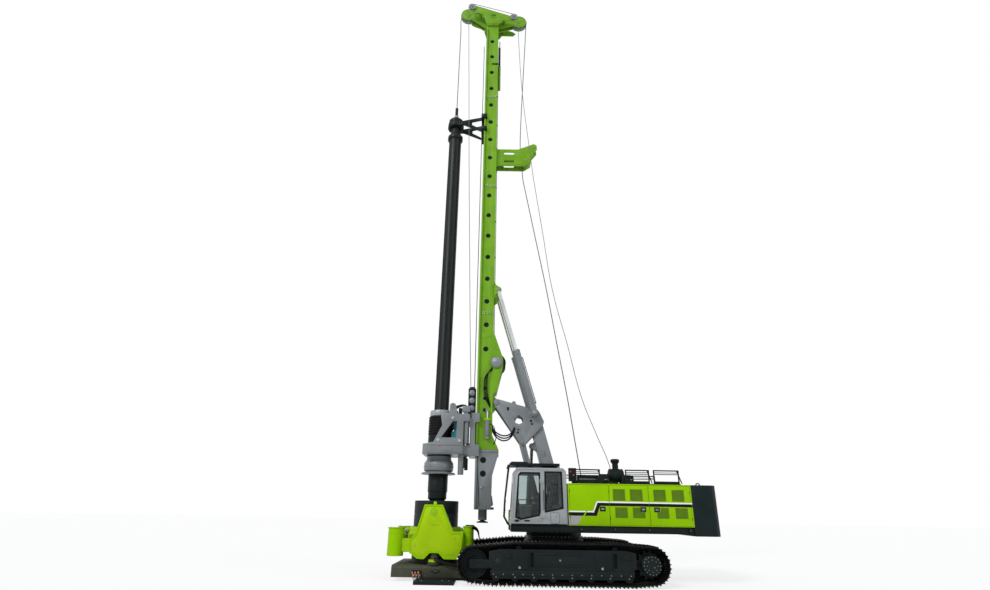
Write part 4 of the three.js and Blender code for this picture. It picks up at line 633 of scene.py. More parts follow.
def shoe_shape():
    """One shoe at the origin of the drawing: x along the chain, z outwards."""
    parts = [block((-104, -400, -60), (104, 400, -36), 5, 1)]
    for x in [-72, 32]:
        parts.append(plate([(x - 6, -38), (x + 34, -38), (x + 22, 0), (x + 8, 0)], -396, 396, "y",
            0))
    for side in [-1, 1]:
        a, b = side * 62, side * 112
        parts.append(block((-112, a, -112), (112, b, -50), 8, 1))
    for x, y in [(-10, -130), (-10, 130), (86, -130), (86, 130)]:
        parts.append(rod((x, y, -46), (x, y, -30), 14, 6))
    bm = gather(*parts)
    bmesh.ops.translate(bm, vec=(-SLEW_X, 0, 0), verts=bm.verts)
    return bm


PLACES, LOOP = track_path(SHOES)
one_shoe = shoe_shape()
shoe_mesh = bpy.data.meshes.new("one_shoe")
one_shoe.to_mesh(shoe_mesh)
one_shoe.free()
for side, name in [(-1, "left"), (1, "right")]:
    chain = bmesh.new()
    chain.faces.layers.float.new("edge")
    for spot, forward, outward in PLACES:
        first = len(chain.verts)
        chain.from_mesh(shoe_mesh)
        chain.verts.ensure_lookup_table()
        turn = Matrix(((forward.x, 0, outward.x, 0), (0, 1, 0, 0), (forward.y, 0, outward.y, 0),
            (0, 0, 0, 1)))
        place = Matrix.Translation(at(spot.x, side * TRACK_Y, spot.y)) @ turn
        bmesh.ops.transform(chain, matrix=place, verts=chain.verts[first:])
    bmesh.ops.recalc_face_normals(chain, faces=chain.faces)
    lowest = min(v.co.z for v in chain.verts)
    bmesh.ops.translate(chain, vec=(0, 0, max(0.0, -lowest)), verts=chain.verts)
    piece = show(chain, "track_chain_" + name, track_steel, "undercarriage")
    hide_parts("track_" + name)
print("loop of", round(LOOP), "mm with", SHOES, "shoes on each side")

# %% [markdown]
# The idler at the front keeps the chain tight, and the toothed sprocket at the rear pulls it.
# Both are round, so a profile is spun. The final drive bolts to the track frame inside the
# sprocket, and its ribbed cover faces out.

# %% Idlers, sprockets and final drives
def idler_shape(side):
    y = side * TRACK_Y
    wheel = turned(hollow([(60, -95), (150, -125), (165, -125), (175, -92), (250, -60), (315, -60),
        (335, -98), (372, -98), (378, -90), (378, -52), (360, -46), (360, 46), (378, 52), (378, 90),
        (372, 98), (335, 98), (315, 60), (250, 60), (175, 92), (165, 125), (150, 125), (60, 95)]),
        (IDLER_X, y, IDLER_Z), "y")
    axle = turned([(0, -208), (52, -208), (60, -200), (60, 200), (52, 208), (0, 208)],
        (IDLER_X, y, IDLER_Z), "y", 24)
    ring = bolts((IDLER_X, y + side * 124, IDLER_Z), 110, 8, 12, side * 10, "y")
    return gather(wheel, axle, ring)


def sprocket_shape(side):
    y = side * TRACK_Y
    teeth = []
    for k in range(13):
        middle = 2 * math.pi * k / 13
        for radius, share in [(328, -0.62), (389, -0.26), (397, -0.12), (397, 0.12), (389, 0.26),
                              (328, 0.62)]:
            a = middle + math.pi / 13 * share
            teeth.append((SPROCKET_X + radius * math.cos(a), SPROCKET_Z + radius * math.sin(a)))
    ring = plate(teeth, y - 48, y + 48, "y", 5)
    drive = turned([(0, -side * 148), (235, -side * 148), (258, -side * 130), (262, side * 60),
        (262, side * 215), (236, side * 232), (236, side * 262), (262, side * 276),
        (262, side * 318), (246, side * 332), (205, side * 336), (198, side * 346),
        (90, side * 348), (80, side * 336), (0, side * 336)], (SPROCKET_X, y, SPROCKET_Z), "y", 56)
    shaft = turned([(0, -side * 328), (172, -side * 328), (174, -side * 100), (0, -side * 100)],
        (SPROCKET_X, y, SPROCKET_Z), "y", 32)
    face = y + side * 334
    return gather(ring, drive, shaft,
        (bolts((SPROCKET_X, face, SPROCKET_Z), 226, 16, 12, side * 13, "y"), 1),
        (bolts((SPROCKET_X, y + side * 344, SPROCKET_Z), 150, 8, 11, side * 5, "y"), 1),
        (pin(SPROCKET_X + 55, SPROCKET_Z - 40, face, face + side * 12, 16, 6), 1))


for side, name in [(-1, "left"), (1, "right")]:
    piece = show(idler_shape(side), "idler_wheel_" + name, black_paint, "undercarriage")
    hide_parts("idler_" + name)
    piece = show(sprocket_shape(side), "sprocket_drive_" + name, [black_paint, fitting_steel],
        "undercarriage")
    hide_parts("sprocket_" + name)
print("idlers, sprockets and final drives on both sides")

# %% [markdown]
# The track frame is a long welded box that carries the rollers. Its outer side has a bolted round
# cover, the caps of the rollers and two long stiffening bars.

# %% Track frames and car body
def frame_details(side):
    outer = side * 2122
    inner = side * 2100
    parts = []
    for x in [-1380, -920, 940, 1340]:
        parts.append(bolts((x, outer, 660), 60, 4, 12, side * 10, "y", math.pi / 4))
    parts += [
        pin(-1790, 640, side * 2110, side * 2126, 62, 24, 3),
        (bolts((-1790, side * 2125, 640), 44, 6, 7, side * 8, "y"), 1),
        (pin(-60, 660, side * 2108, side * 2134, 26, 16, 2), 1)]
    for k in range(8):
        x = -1830 + k * 3660 / 7
        parts += [
            turned([(0, side * 240), (52, side * 240), (60, side * 232), (60, side * 200),
                (0, side * 200)], (x, side * TRACK_Y + side * 32, 228.3), "y", 20),
            (pin(x, 228, side * 2072, side * 2082, 16, 6), 1)]
    ends = [inner, outer + side * 10]
    parts += [
        block((-760, ends[0], 510), (580, ends[1], 530), 6),
        block((-760, ends[0], 790), (580, ends[1], 810), 6),
        block((1700, ends[0], 700), (1900, ends[1], 790), 8),
        block((-1560, ends[0], 700), (-1420, ends[1], 790), 8)]
    for x in [-1180, 1100]:
        parts.append((pin(x, 470, outer - side * 2, outer + side * 12, 34, 20, 3), 1))
    for k in range(15):
        x = -1900 + 270 * k
        parts.append((pin(x, 300, side * 2092, side * 2104, 15, 6), 1))
    parts.append(block((-1980, side * 2060, 262), (1980, side * 2092, 404), 6))
    return parts


def shade_sheet_outline():
    """The tight loop 70 mm inside the wheels, as corners in order; it outlines a dark sheet that is
    painted shade inside the track.
    """
    bm = bmesh.new()
    for x, z, r in TRACK_CIRCLES:
        for k in range(48):
            a = 2 * math.pi * k / 48
            bm.verts.new((x + (r - 70) * math.cos(a), z + (r - 70) * math.sin(a), 0))
    bmesh.ops.convex_hull(bm, input=bm.verts[:])
    corners = [v.co.xy.copy() for v in bm.verts if len(v.link_edges)]
    bm.free()
    corners.sort(key=lambda c: math.atan2(c.y - 560, c.x))
    kept = [corners[0]]
    for c in corners[1:]:
        if (c - kept[-1]).length > 12:
            kept.append(c)
    return [(c.x, c.y) for c in kept]


SHADE_SHEET = shade_sheet_outline()
# A near-black sheet on the inner side of each track loop is painted shade: it fills the gaps
# between the wheels, where the inside of the track lies in shade.
for side, name in [(-1, "left"), (1, "right")]:
    inside = show(plate(SHADE_SHEET, side * (TRACK_Y - 262), side * (TRACK_Y - 250), "y", 0),
        "inner_shade_sheet_" + name, track_steel, "undercarriage")
    eased_copy("track_frame_" + name, None, 6, frame_details(side),
        [black_paint, fitting_steel])
ring_bolts = bolts((0, 0, 1205), 900, 48, 13, 16, "z", 0.03)
eased_copy("car_body", None, 10, [(ring_bolts, 1),
    block((-1420, -560, 620), (-1408, 560, 900), 4), rod((0, 0, 1180), (0, 0, 1228), 250, 32)],
    [black_paint, fitting_steel])
print("track frames and car body")

# %% [markdown]
# ## Casing oscillator
# The oscillator clamps the casing and swings it while two cylinders press it down. Its two
# housings are thick lime plates with a raised rim, a bolted round cover and a lifting eye. The
# rim is the same outline set in by a bevelled inset, so it stays parallel to the edge.

# %% Oscillator frame
KELLY_X = -3750
HOUSING_FACE = 1250
COLUMN_X = KELLY_X + 110
HOUSING_OUTLINE = [(-245, 2065), (-465, 1270), (-640, 1085), (-640, 765), (-390, 595), (-300, 585),
    (-180, 585), (-15, 745), (235, 745), (400, 585), (760, 585), (900, 860), (945, 1320),
    (630, 1320), (290, 2065)]


def housing_rim(side):
    """A raised border along the edge of the housing's outer face."""
    outer = side * HOUSING_FACE
    bm = bmesh.new()
    face = bm.faces.new([bm.verts.new(at(KELLY_X + u, outer, v)) for u, v in HOUSING_OUTLINE])
    bmesh.ops.recalc_face_normals(bm, faces=bm.faces)
    if (face.normal.y > 0) != (side > 0):
        bmesh.ops.reverse_faces(bm, faces=[face])
    bmesh.ops.inset_region(bm, faces=[face], thickness=0.055, use_even_offset=True,
        use_boundary=True)
    border = [f for f in bm.faces if f is not face]
    bmesh.ops.delete(bm, geom=[face], context="FACES")
    grown = bmesh.ops.extrude_face_region(bm, geom=border)["geom"]
    bmesh.ops.translate(bm, vec=(0, side * 0.012, 0), verts=[g for g in grown if isinstance(g,
        bmesh.types.BMVert)])
    bmesh.ops.recalc_face_normals(bm, faces=bm.faces)
    return bm


def oscillator_details(side):
    y = side * HOUSING_FACE
    x = KELLY_X
    parts = [(housing_rim(side), 1)]
    cover = turned([(0, side * 26), (62, side * 26), (70, side * 20), (78, side * 24),
        (96, side * 24), (104, side * 18), (104, side * -4), (0, side * -4)], (x + 40, y, 1870),
        "y", 36)
    parts += [
        (cover, 1),
        (bolts((x + 40, y + side * 23, 1870), 86, 8, 12, side * 3, "y", 0.2), 2),
        (turned(hollow([(26, -12), (30, -16), (48, -16), (52, -12), (52, 12), (48, 16), (30, 16),
            (26, 12)]), (x + 70, side * 1225, 2108), "y", 28), 1)]
    for u, v, r in [(-470, 930, 30), (700, 1180, 26), (620, 730, 26)]:
        parts += [
            pin(x + u, v, y, y + side * 9, r, 20, 2),
            (pin(x + u, v, y + side * 9, y + side * 15, r * 0.5, 6), 2)]
    parts.append(block((x - 20, y, 1500), (x + 240, y + side * 12, 1515), 3))
    return parts


def post_shape(side, px, py, radius, bottom, top):
    x, y = KELLY_X + px, side * py
    body = turned([(0, bottom), (radius - 14, bottom), (radius, bottom + 14), (radius, top - 150),
        (radius + 6, top - 146), (radius + 6, top - 120), (radius, top - 116), (radius, top - 4),
        (radius + 15, top), (radius + 15, top + 18), (radius + 11, top + 22),
        (radius - 60, top + 22), (radius - 66, top + 16), (0, top + 16)], (x, y, 0), "z", 44)
    head = bolts((x, y, top + 16), radius - 26, 12, 12, 14, "z")
    return [(body, 1), (head, 2)]


extra = []
for side in [-1, 1]:
    extra += oscillator_details(side)
    extra += post_shape(side, -1080, 930, 240, 640, 1390)
    extra += post_shape(side, 1060, 900, 130, 700, 1450)
eased_copy("oscillator_frame", None, 9, extra, [osc_lime, lime, fitting_steel, black_paint])
print("oscillator frame with posts, rims, covers and lifting eyes")

# %% [markdown]
# The clamp is a split steel band that grips the casing. It turns with the casing, so it rides on
# its own body. The casing is a plain tube of scuffed steel with a groove under its driving rim.

# %% Clamp collar and casing
collar = turned(hollow([(702, 724), (706, 720), (805, 720), (810, 726), (810, 974), (850, 1016),
    (850, 1246), (842, 1258), (804, 1298), (800, 1306), (800, 1422), (794, 1430), (708, 1430),
    (702, 1426)]), (KELLY_X, 0, 0), "z", 72)
collar_parts = [(collar, 0)]
for y0, y1 in [(-210, -130), (130, 210)]:
    collar_parts.append(block((KELLY_X - 940, y0, 1195), (KELLY_X - 735, y1, 1400), 8))
collar_parts += [
    block((KELLY_X + 790, -170, 1195), (KELLY_X + 870, 170, 1410), 8),
    (pin(KELLY_X - 880, 1300, -245, 245, 46, 24, 5), 1),
    (pin(KELLY_X - 880, 1300, -255, -210, 62, 24, 4), 1),
    (pin(KELLY_X - 880, 1300, 210, 255, 62, 24, 4), 1)]
for z in [1060, 1180]:
    collar_parts.append(washer(846, 860, z, z + 34, (KELLY_X, 0, 0), "z", 72))
collar_parts.append((bolts((KELLY_X, 0, 1428), 752, 24, 14, 12, "z"), 1))
piece = show(gather(*collar_parts), "clamp_band", [osc_lime, fitting_steel], "clamp")
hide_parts("clamp_collar")

casing = turned(hollow([(655, 24), (690, 20), (700, 30), (700, 1790), (694, 1800), (694, 1812),
    (700, 1822), (700, 2184), (695, 2190), (661, 2190), (655, 2184)]), (KELLY_X, 0, 0), "z", 80)
piece = show(casing, "casing_pipe", casing_steel, "clamp")
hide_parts("casing_tube")
print("clamp and casing")

# %% [markdown]
# The base spreads the load on the ground. It carries the two lifting cylinders, and hydraulic
# lines reach it through quick couplings on its near side, some bright and some with orange caps.

# %% Base, lifting cylinders, coupler and its hoses
extra = []
for side in [-1, 1]:
    x, y = COLUMN_X, side * 1065
    extra.append(turned([(88, 1236), (104, 1236), (108, 1242), (128, 1244), (140, 1236),
        (140, 1190), (146, 1184), (146, 1150), (140, 1144)], (x, y, 0), "z", 40))
    for u in [-560, -180, 400, 780]:
        extra.append(block((KELLY_X + u, side * 1222, 180), (KELLY_X + u + 26, side * 1236, 350),
            4))
    diamond = [(KELLY_X + 180, 330), (KELLY_X + 30, 265), (KELLY_X + 180, 200),
        (KELLY_X + 330, 265)]
    extra += [
        (plate(diamond, side * 1229, side * 1236, "y", 2), 1),
        plate([(KELLY_X + 180, 304), (KELLY_X + 90, 265), (KELLY_X + 180, 226),
            (KELLY_X + 270, 265)], side * 1230, side * 1238, "y", 1)]
for side in [-1, 1]:
    extra += [
        (turned(hollow([(143, 500), (176, 500), (182, 506), (182, 566), (143, 566)]),
            (COLUMN_X, side * 1065, 0), "z", 32), 2),
        turned(hollow([(143, 430), (196, 430), (200, 436), (200, 500), (143, 500)]),
            (COLUMN_X, side * 1065, 0), "z", 32)]
eased_copy("oscillator_base", None, 8, extra, [olive_drab, dark_paint, osc_lime])

extra = []
for side in [-1, 1]:
    for k, x in enumerate([-4060, -3880, -3300, -3120]):
        extra.append((rod((x, side * 1960, 98), (x, side * 1960, 116), 22, 6), 1))
    extra.append(washer(36, 60, 100, 134, (-3180, side * 1800, 0), "z", 24))
eased_copy("coupler_frame", None, 7, extra, [black_paint, fitting_steel])

couplings = []
for k in range(6):
    x = KELLY_X - 480 + 44 * k
    y = -1258
    z = 238 - 62 * (k % 2)
    couplings += [
        pin(x, z, -1228, y - 18, 22, 6),
        (turned([(0, -84), (25, -84), (28, -76), (28, -46), (22, -40), (22, 0), (0, 0)],
            (x, y - 8, z), "y", 20), 1 if k in (1, 4) else 0),
        (rod((x, y - 30, z), (x + 12, y - 34, z - 118), 13, 10), 0 if k % 2 else 1),
        rod((x + 12, y - 34, z - 118), (x + 14, y - 34, z - 150), 20, 12, 3)]
couplings.append((block((KELLY_X - 520, -1240, 130), (KELLY_X - 220, -1226, 290), 5), 2))
show(gather(*couplings), "quick_couplings", [fitting_steel, orange_cap, black_paint],
    "undercarriage")
print("base, coupler frame and quick couplings")

# %% Oscillator hoses
runs = []
for k, dy in enumerate([0, -42]):
    runs.append([(KELLY_X + 120, -1228 + dy * 0.2, 610 - 60 * k),
        (KELLY_X + 420, -1275 + dy, 520 - 40 * k), (KELLY_X + 840, -1290 + dy, 440 - 30 * k),
        (KELLY_X + 1180, -1285 + dy, 420 - 30 * k), (KELLY_X + 1420, -1150 + dy, 455 - 30 * k),
        (-2160, -1010 + dy, 520)])
hose("oscillator_feed_hoses", runs, 21, rubber, "undercarriage")
runs = []
for k in range(4):
    off = 38 * k
    runs.append([(KELLY_X + 1000, -640 - off, 1270), (KELLY_X + 1150, -700 - off, 1395 + off * 0.5),
        (KELLY_X + 1330, -760 - off, 1350 + off * 0.6), (KELLY_X + 1420, -790 - off, 1130)])
hose("oscillator_arc_hoses", runs, 19, rubber, "oscillator")
print("oscillator hoses")

# %% [markdown]
# ## Operator's cab
# The cab is a welded shell of folded sheet with big panes. Each pane is a thin sheet of glass set
# back in its opening, and a black rubber seal runs round the edge. The seal is the window's
# outline inset and extruded, so it turns every corner with the same width.

# %% Panes and seals
def seal(outline, face_at, out, width=44, rise=9, along="y"):
    """A rubber frame round a window, lying on the sheet at face_at and standing out by rise."""
    bm = bmesh.new()
    ring = bm.faces.new([bm.verts.new(PLANES[along](u, v, face_at)) for u, v in outline])
    bm.normal_update()
    border = bmesh.ops.inset_region(bm, faces=[ring], thickness=width * MM, use_even_offset=True,
        use_boundary=True)["faces"]
    bmesh.ops.delete(bm, geom=[ring], context="FACES")
    grown = bmesh.ops.extrude_face_region(bm, geom=border)["geom"]
    push = PLANES[along](0, 0, face_at + out * rise) - PLANES[along](0, 0, face_at)
    bmesh.ops.translate(bm, vec=push, verts=[g for g in grown if isinstance(g, bmesh.types.BMVert)])
    loose = [v for v in bm.verts if not v.link_faces]
    bmesh.ops.delete(bm, geom=loose, context="VERTS")
    bmesh.ops.recalc_face_normals(bm, faces=bm.faces)
    return bm


def larger(outline, by):
    """The outline pushed outwards from its middle."""
    cu = sum(u for u, _ in outline) / len(outline)
    cv = sum(v for _, v in outline) / len(outline)
    return [(u + by * (1 if u > cu else -1), v + by * (1 if v > cv else -1)) for u, v in outline]


DOOR_WINDOW = [(-1265, 1760), (-1100, 1695), (-545, 1825), (-545, 3000), (-1100, 3000),
    (-1175, 2920)]
QUARTER_WINDOW = [(-375, 1905), (135, 2025), (115, 3030), (-375, 3030)]
FAR_WINDOW = [(-1170, 2105), (115, 2105), (115, 3000), (-1130, 3000)]
REAR_WINDOW = [(-1370, 2345), (-690, 2345), (-690, 2930), (-1370, 2930)]
ROOF_WINDOW = [(-1100, -1330), (-630, -1330), (-630, -730), (-1100, -730)]

panes = gather(
    plate(QUARTER_WINDOW, -1482, -1476, "y", 0),
    plate(FAR_WINDOW, -584, -578, "y", 0),
    plate(REAR_WINDOW, 238, 244, "x", 0),
    plate(ROOF_WINDOW, 3112, 3118, "z", 0))
front_pane = plate([(-1414, 1716), (-1408, 1716), (-1332, 2959), (-1338, 2959)], -1389, -671, "y",
    0)
show(gather(panes, front_pane), "cab_panes", glass, "upper")
show(plate(DOOR_WINDOW, -1484, -1478, "y", 0), "door_pane", glass, "door_cab")
seals = gather(
    seal(larger(QUARTER_WINDOW, 22), -1500, -1),
    seal(larger(FAR_WINDOW, 22), -560, 1),
    seal(larger(REAR_WINDOW, 22), 265, 1, along="x"),
    seal(larger(ROOF_WINDOW, 22), 3150, 1, along="z"))
show(seals, "cab_seals", rubber, "upper")
show(seal(larger(DOOR_WINDOW, 20), -1500, -1), "door_seal", rubber, "door_cab")
print("panes and seals")

# %% [markdown]
# The shell carries the fuel flap with its lock, grab handle, wiper and lamps. The door has a
# recessed grip below the pane and hinge knuckles. All of these are small bevelled shapes on the
# eased copy.

# %% Cab shell, door and roof guard
def oval(cx, cz, half_u, half_v, steps=24):
    return [(cx + half_u * math.cos(2 * math.pi * k / steps),
        cz + half_v * math.sin(2 * math.pi * k / steps)) for k in range(steps)]


def rounded(u0, u1, v0, v1, r, steps=5):
    """A rectangle with round corners."""
    points = []
    for cu, cv, start in [(u1 - r, v1 - r, 0), (u0 + r, v1 - r, 90), (u0 + r, v0 + r, 180),
                          (u1 - r, v0 + r, 270)]:
        for k in range(steps + 1):
            a = math.radians(start + 90 * k / steps)
            points.append((cu + r * math.cos(a), cv + r * math.sin(a)))
    return points


fuel_flap = [
    plate(rounded(-228, 17, 1590, 1885, 34), -1506, -1499, "y", 2),
    (plate(rounded(-236, 25, 1582, 1893, 40), -1502, -1499, "y", 1), 2),
    (pin(-60, 1790, -1505, -1512, 17, 20, 2), 1),
    (block((-62, -1514, 1780), (-58, -1510, 1800), 0), 2)]
handle = [
    (pin(-430, 1960, -1500, -1545, 9, 10), 2),
    (pin(-430, 2500, -1500, -1545, 9, 10), 2),
    (rod((-430, -1545, 1945), (-430, -1545, 2515), 11, 12, 3), 2)]
gutter = [
    block((-1240, -1512, 3092), (200, -1499, 3106), 4),
    (block((-1395, -1500, 1545), (255, -1506, 1580), 3), 2)]
eased_copy("cab_shell", None, 16, fuel_flap + handle + gutter + [(pin(-340, 1700, -1505,
    -1512, 9, 12), 1), (block((-1352, -1140, 1660), (-1428, -900, 1700), 4), 2)],
    [cab_grey, fitting_steel, black_paint])
door_parts = [(plate(oval(-1228, 1657, 84, 46), -1504, -1499, "y", 1), 2),
    (plate(oval(-1228, 1657, 70, 34), -1507, -1502, "y", 1), 1),
    (plate(rounded(-1010, -850, 1640, 1680, 12), -1507, -1499, "y", 2), 1)]
for z in [1795.3, 2770]:
    door_parts += [
        (rod((-487, -1521, z - 56), (-487, -1521, z + 56), 0.9, 8), 1),
        (bolts((-512, -1521, z), 24, 4, 7, -1, "y", math.pi / 4), 2)]
eased_copy("cab_door", None, 7, door_parts, [cab_grey, black_paint, fitting_steel])

lamp_parts = []
for y in [-1440, -620]:
    lamp_parts += [
        plate(rounded(-1520, -1455, 3168, 3228, 12), y - 45, y + 45, "y", 5),
        (block((-1524, y - 38, 3175), (-1519, y + 38, 3221), 2), 1)]
lamp_parts += [
    block((20, -1440, 3150), (90, -1360, 3205), 12),
    (block((30, -1446, 3160), (80, -1438, 3196), 4), 1)]
show(gather(*lamp_parts), "cab_lamps", [black_paint, lens], "upper")
eased_copy("cab_guard", black_paint, 5)
wiper = gather(rod((-1425, -1030, 1740), (-1368, -1180, 2480), 8, 8),
    plate([(-1395, 2100), (-1387, 2100), (-1353, 2700), (-1361, 2700)], -1172, -1166, "y", 0))
show(wiper, "wiper", black_paint, "upper")
print("cab shell, door, guard, lamps and wiper")

# %% [markdown]
# The operator's seat has a moulded frame with a padded cushion, backrest and headrest. Foam under
# cloth is crowned in the middle and its sides pull in between the corners. Each pad is a
# subdivided block whose points are moved to that form and then smoothed.

# %% Operator's seat
def pad_shape(centre, size, crown, lean=0.0, pull=0.06):
    """A crowned foam pad; size is in millimetres, with its thin side along z before leaning."""
    bm = bmesh.new()
    bmesh.ops.create_cube(bm, size=2)
    bmesh.ops.subdivide_edges(bm, edges=bm.edges[:], cuts=7, use_grid_fill=True)
    for v in bm.verts:
        u, w, t = v.co
        v.co.z = t * (0.72 + crown * (1 - u * u) * (1 - w * w)) if t > 0 else t * 0.72
        v.co.x = u * (1 - pull * (1 - w * w) * abs(t) - 0.05 * abs(t))
        v.co.y = w * (1 - pull * (1 - u * u) * abs(t) - 0.05 * abs(t))
    for _ in range(2):
        bmesh.ops.smooth_vert(bm, verts=bm.verts, factor=0.4, use_axis_x=True, use_axis_y=True,
            use_axis_z=True)
    scale = Matrix.Diagonal((size[0] / 2 * MM, size[1] / 2 * MM, size[2] / 2 * MM, 1))
    place = Matrix.Translation(at(*centre)) @ Matrix.Rotation(lean, 4, "Y") @ scale
    bmesh.ops.transform(bm, matrix=place, verts=bm.verts)
    return bm


def add_pad(name, bm):
    pad = show(bm, name, cloth, "upper", 180)
    soften = pad.modifiers.new("soften", "SUBSURF")
    soften.levels = soften.render_levels = 1
    return pad


SEAT_Y = -1030
seat_frame = gather(
    block((-560, SEAT_Y - 150, 1606), (-190, SEAT_Y + 150, 1640), 8),
    plate([(-540, 1640), (-210, 1640), (-250, 1905), (-500, 1905)], SEAT_Y - 110, SEAT_Y + 110, "y",
        14),
    block((-680, SEAT_Y - 215, 1905), (-160, SEAT_Y + 215, 1945), 12),
    plate([(-215, 1930), (-165, 1930), (-72, 2560), (-105, 2570)], SEAT_Y - 190, SEAT_Y + 190, "y",
        12))
piece = show(seat_frame, "seat_frame", black_paint, "upper")
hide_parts("operator_seat")
add_pad("seat_cushion", pad_shape((-440, SEAT_Y, 1992), (500, 460, 120), 0.42))
add_pad("seat_backrest", pad_shape((-195, SEAT_Y, 2270), (520, 440, 110), 0.42, math.radians(-81)))
add_pad("seat_headrest", pad_shape((-128, SEAT_Y, 2602), (110, 280, 90), 0.35, math.radians(-81)))
console = gather(
    block((-760, -1290, 1606), (-330, -1235, 2090), 16),
    block((-760, -820, 1606), (-330, -765, 2090), 16),
    block((-1250, -900, 1606), (-1120, -700, 2060), 16),
    plate([(-1240, 2060), (-1110, 2060), (-1150, 2260), (-1215, 2260)], -900, -700, "y", 10),
    rod((-720, -1262, 2085), (-740, -1262, 2210), 10, 10),
    rod((-742, -1262, 2205), (-748, -1262, 2260), 24, 16, 6),
    rod((-720, -792, 2085), (-740, -792, 2210), 10, 10),
    rod((-742, -792, 2205), (-748, -792, 2260), 24, 16, 6),
    (pin(-790, 1930, -1275, -1296, 26, 16, 4), 1),
    block((-1330, -1390, 2225), (-560, -1372, 2248), 5))
show(console, "cab_controls", [black_paint, signal_red], "upper")
print("seat, consoles and levers")

# %% [markdown]
# ## Hood and its doors
# The hood over the engine is lime. Its doors carry a white line over a black band that climbs to
# the rear, slatted grilles for cooling air and a latch each. The band crosses the gaps between
# doors, so one long shape is cut at each door's edges and each length rides on its own door.

# %% Stripes cut for each door
HOOD_SIDE, HOOD_FRONT, HOOD_REAR = 1500, 306, 3990
DOORS = {"front": (346, 1519), "middle": (1531, 2704), "rear": (2716, 3959)}


def strip_between(outline, x0, x1, outer, side, rise):
    bm = plate(outline, outer, outer + side * rise, "y", 0)
    for x, out in [(x0, -1), (x1, 1)]:
        bmesh.ops.bisect_plane(bm, geom=bm.verts[:] + bm.edges[:] + bm.faces[:],
            plane_co=at(x, 0, 0), plane_no=(out, 0, 0), clear_outer=True)
    open_edges = [e for e in bm.edges if len(e.link_faces) == 1]
    if open_edges:
        bmesh.ops.holes_fill(bm, edges=open_edges, sides=0)
    bmesh.ops.recalc_face_normals(bm, faces=bm.faces)
    return bm


WHITE_LINE = [(HOOD_FRONT, 1914), (1050, 1914), (1170, 2184), (HOOD_REAR, 2176),
    (HOOD_REAR, 2212), (1146, 2222), (1026, 1950), (HOOD_FRONT, 1950)]
BLACK_BAND = [(HOOD_FRONT, 1818), (1128, 1818), (1240, 2098), (HOOD_REAR, 2090),
    (HOOD_REAR, 2176), (1170, 2184), (1050, 1914), (HOOD_FRONT, 1914)]
GREY_PANEL = [(HOOD_FRONT, 1574), (560, 1574), (700, 1806), (HOOD_FRONT, 1806)]


def door_stripes(x0, x1, side):
    y = side * HOOD_SIDE
    parts = [(strip_between(WHITE_LINE, x0, x1, y, side, 1.6), 1),
        (strip_between(BLACK_BAND, x0, x1, y, side, 1.2), 2)]
    if x0 < 600:
        parts.append((strip_between(GREY_PANEL, x0, x1, y, side, 1.2), 3))
    return parts


def grille_shape(x0, x1, z0, z1, side, notch=None):
    """Slanted lime bars over a black plate, which is painted shade for the dark openings between
    the bars. A notch leaves one upper corner for the latch.
    """
    y = side * HOOD_SIDE
    parts = []
    tiles = [(x0, x1, z0, z1)]
    if notch == "right":
        tiles = [(x0, x1 - 112, z1 - 130, z1), (x0, x1, z0, z1 - 130)]
    if notch == "left":
        tiles = [(x0 + 112, x1, z1 - 130, z1), (x0, x1, z0, z1 - 130)]
    for u0, u1, v0, v1 in tiles:
        # The black plate under the bars is painted shade for the dark openings of the grille.
        parts.append((plate([(u0, v0), (u1, v0), (u1, v1), (u0, v1)], y + side * 0.4,
            y + side * 1.8, "y", 0), 4))
        bars = bmesh.new()
        spread = (v1 - v0) * 0.75
        for k in range(int((u0 - spread) / 60), int(u1 / 60) + 1):
            u = 60 * k
            put(bars, plate([(u, v0), (u + 20, v0), (u + 20 + spread, v1), (u + spread, v1)],
                y + side * 2.4, y + side * 5, "y", 0))
        for edge, inward in [(u0, -1), (u1, 1)]:
            bmesh.ops.bisect_plane(bars, geom=bars.verts[:] + bars.edges[:] + bars.faces[:],
                dist=1e-6, plane_co=at(edge, 0, 0), plane_no=(inward, 0, 0), clear_outer=True)
        bmesh.ops.holes_fill(bars, edges=[e for e in bars.edges if e.is_boundary], sides=8)
        parts.append((bars, 0))
    return parts


def latch_shape(x, z, side):
    y = side * HOOD_SIDE
    return [(block((x - 86, y, z - 66), (x + 86, y + side * 9, z + 66), 8), 4),
        (plate(rounded(x - 48, x + 40, z - 26, z + 26, 10), y + side * 8, y + side * 15, "y", 2),
        5), (pin(x + 58, z, y + side * 9, y + side * 13, 9, 12), 5)]


UPPER_GRILLES = {"middle": [(1644, 2009), (2153, 2531)], "rear": [(2858, 3223), (3406, 3771)]}
LOWER_GRILLES = {"middle": [(1683, 2049, None), (2205, 2571, "right")],
    "rear": [(2923, 3275, "left"), (3471, 3837, None)]}
LATCHES = {"front": (1318, 2012), "middle": (2520, 2014), "rear": (2926, 2010)}


def y_out(side, rise):
    """A height above the side of the hood, as a place across the machine."""
    return side * (HOOD_SIDE + rise)


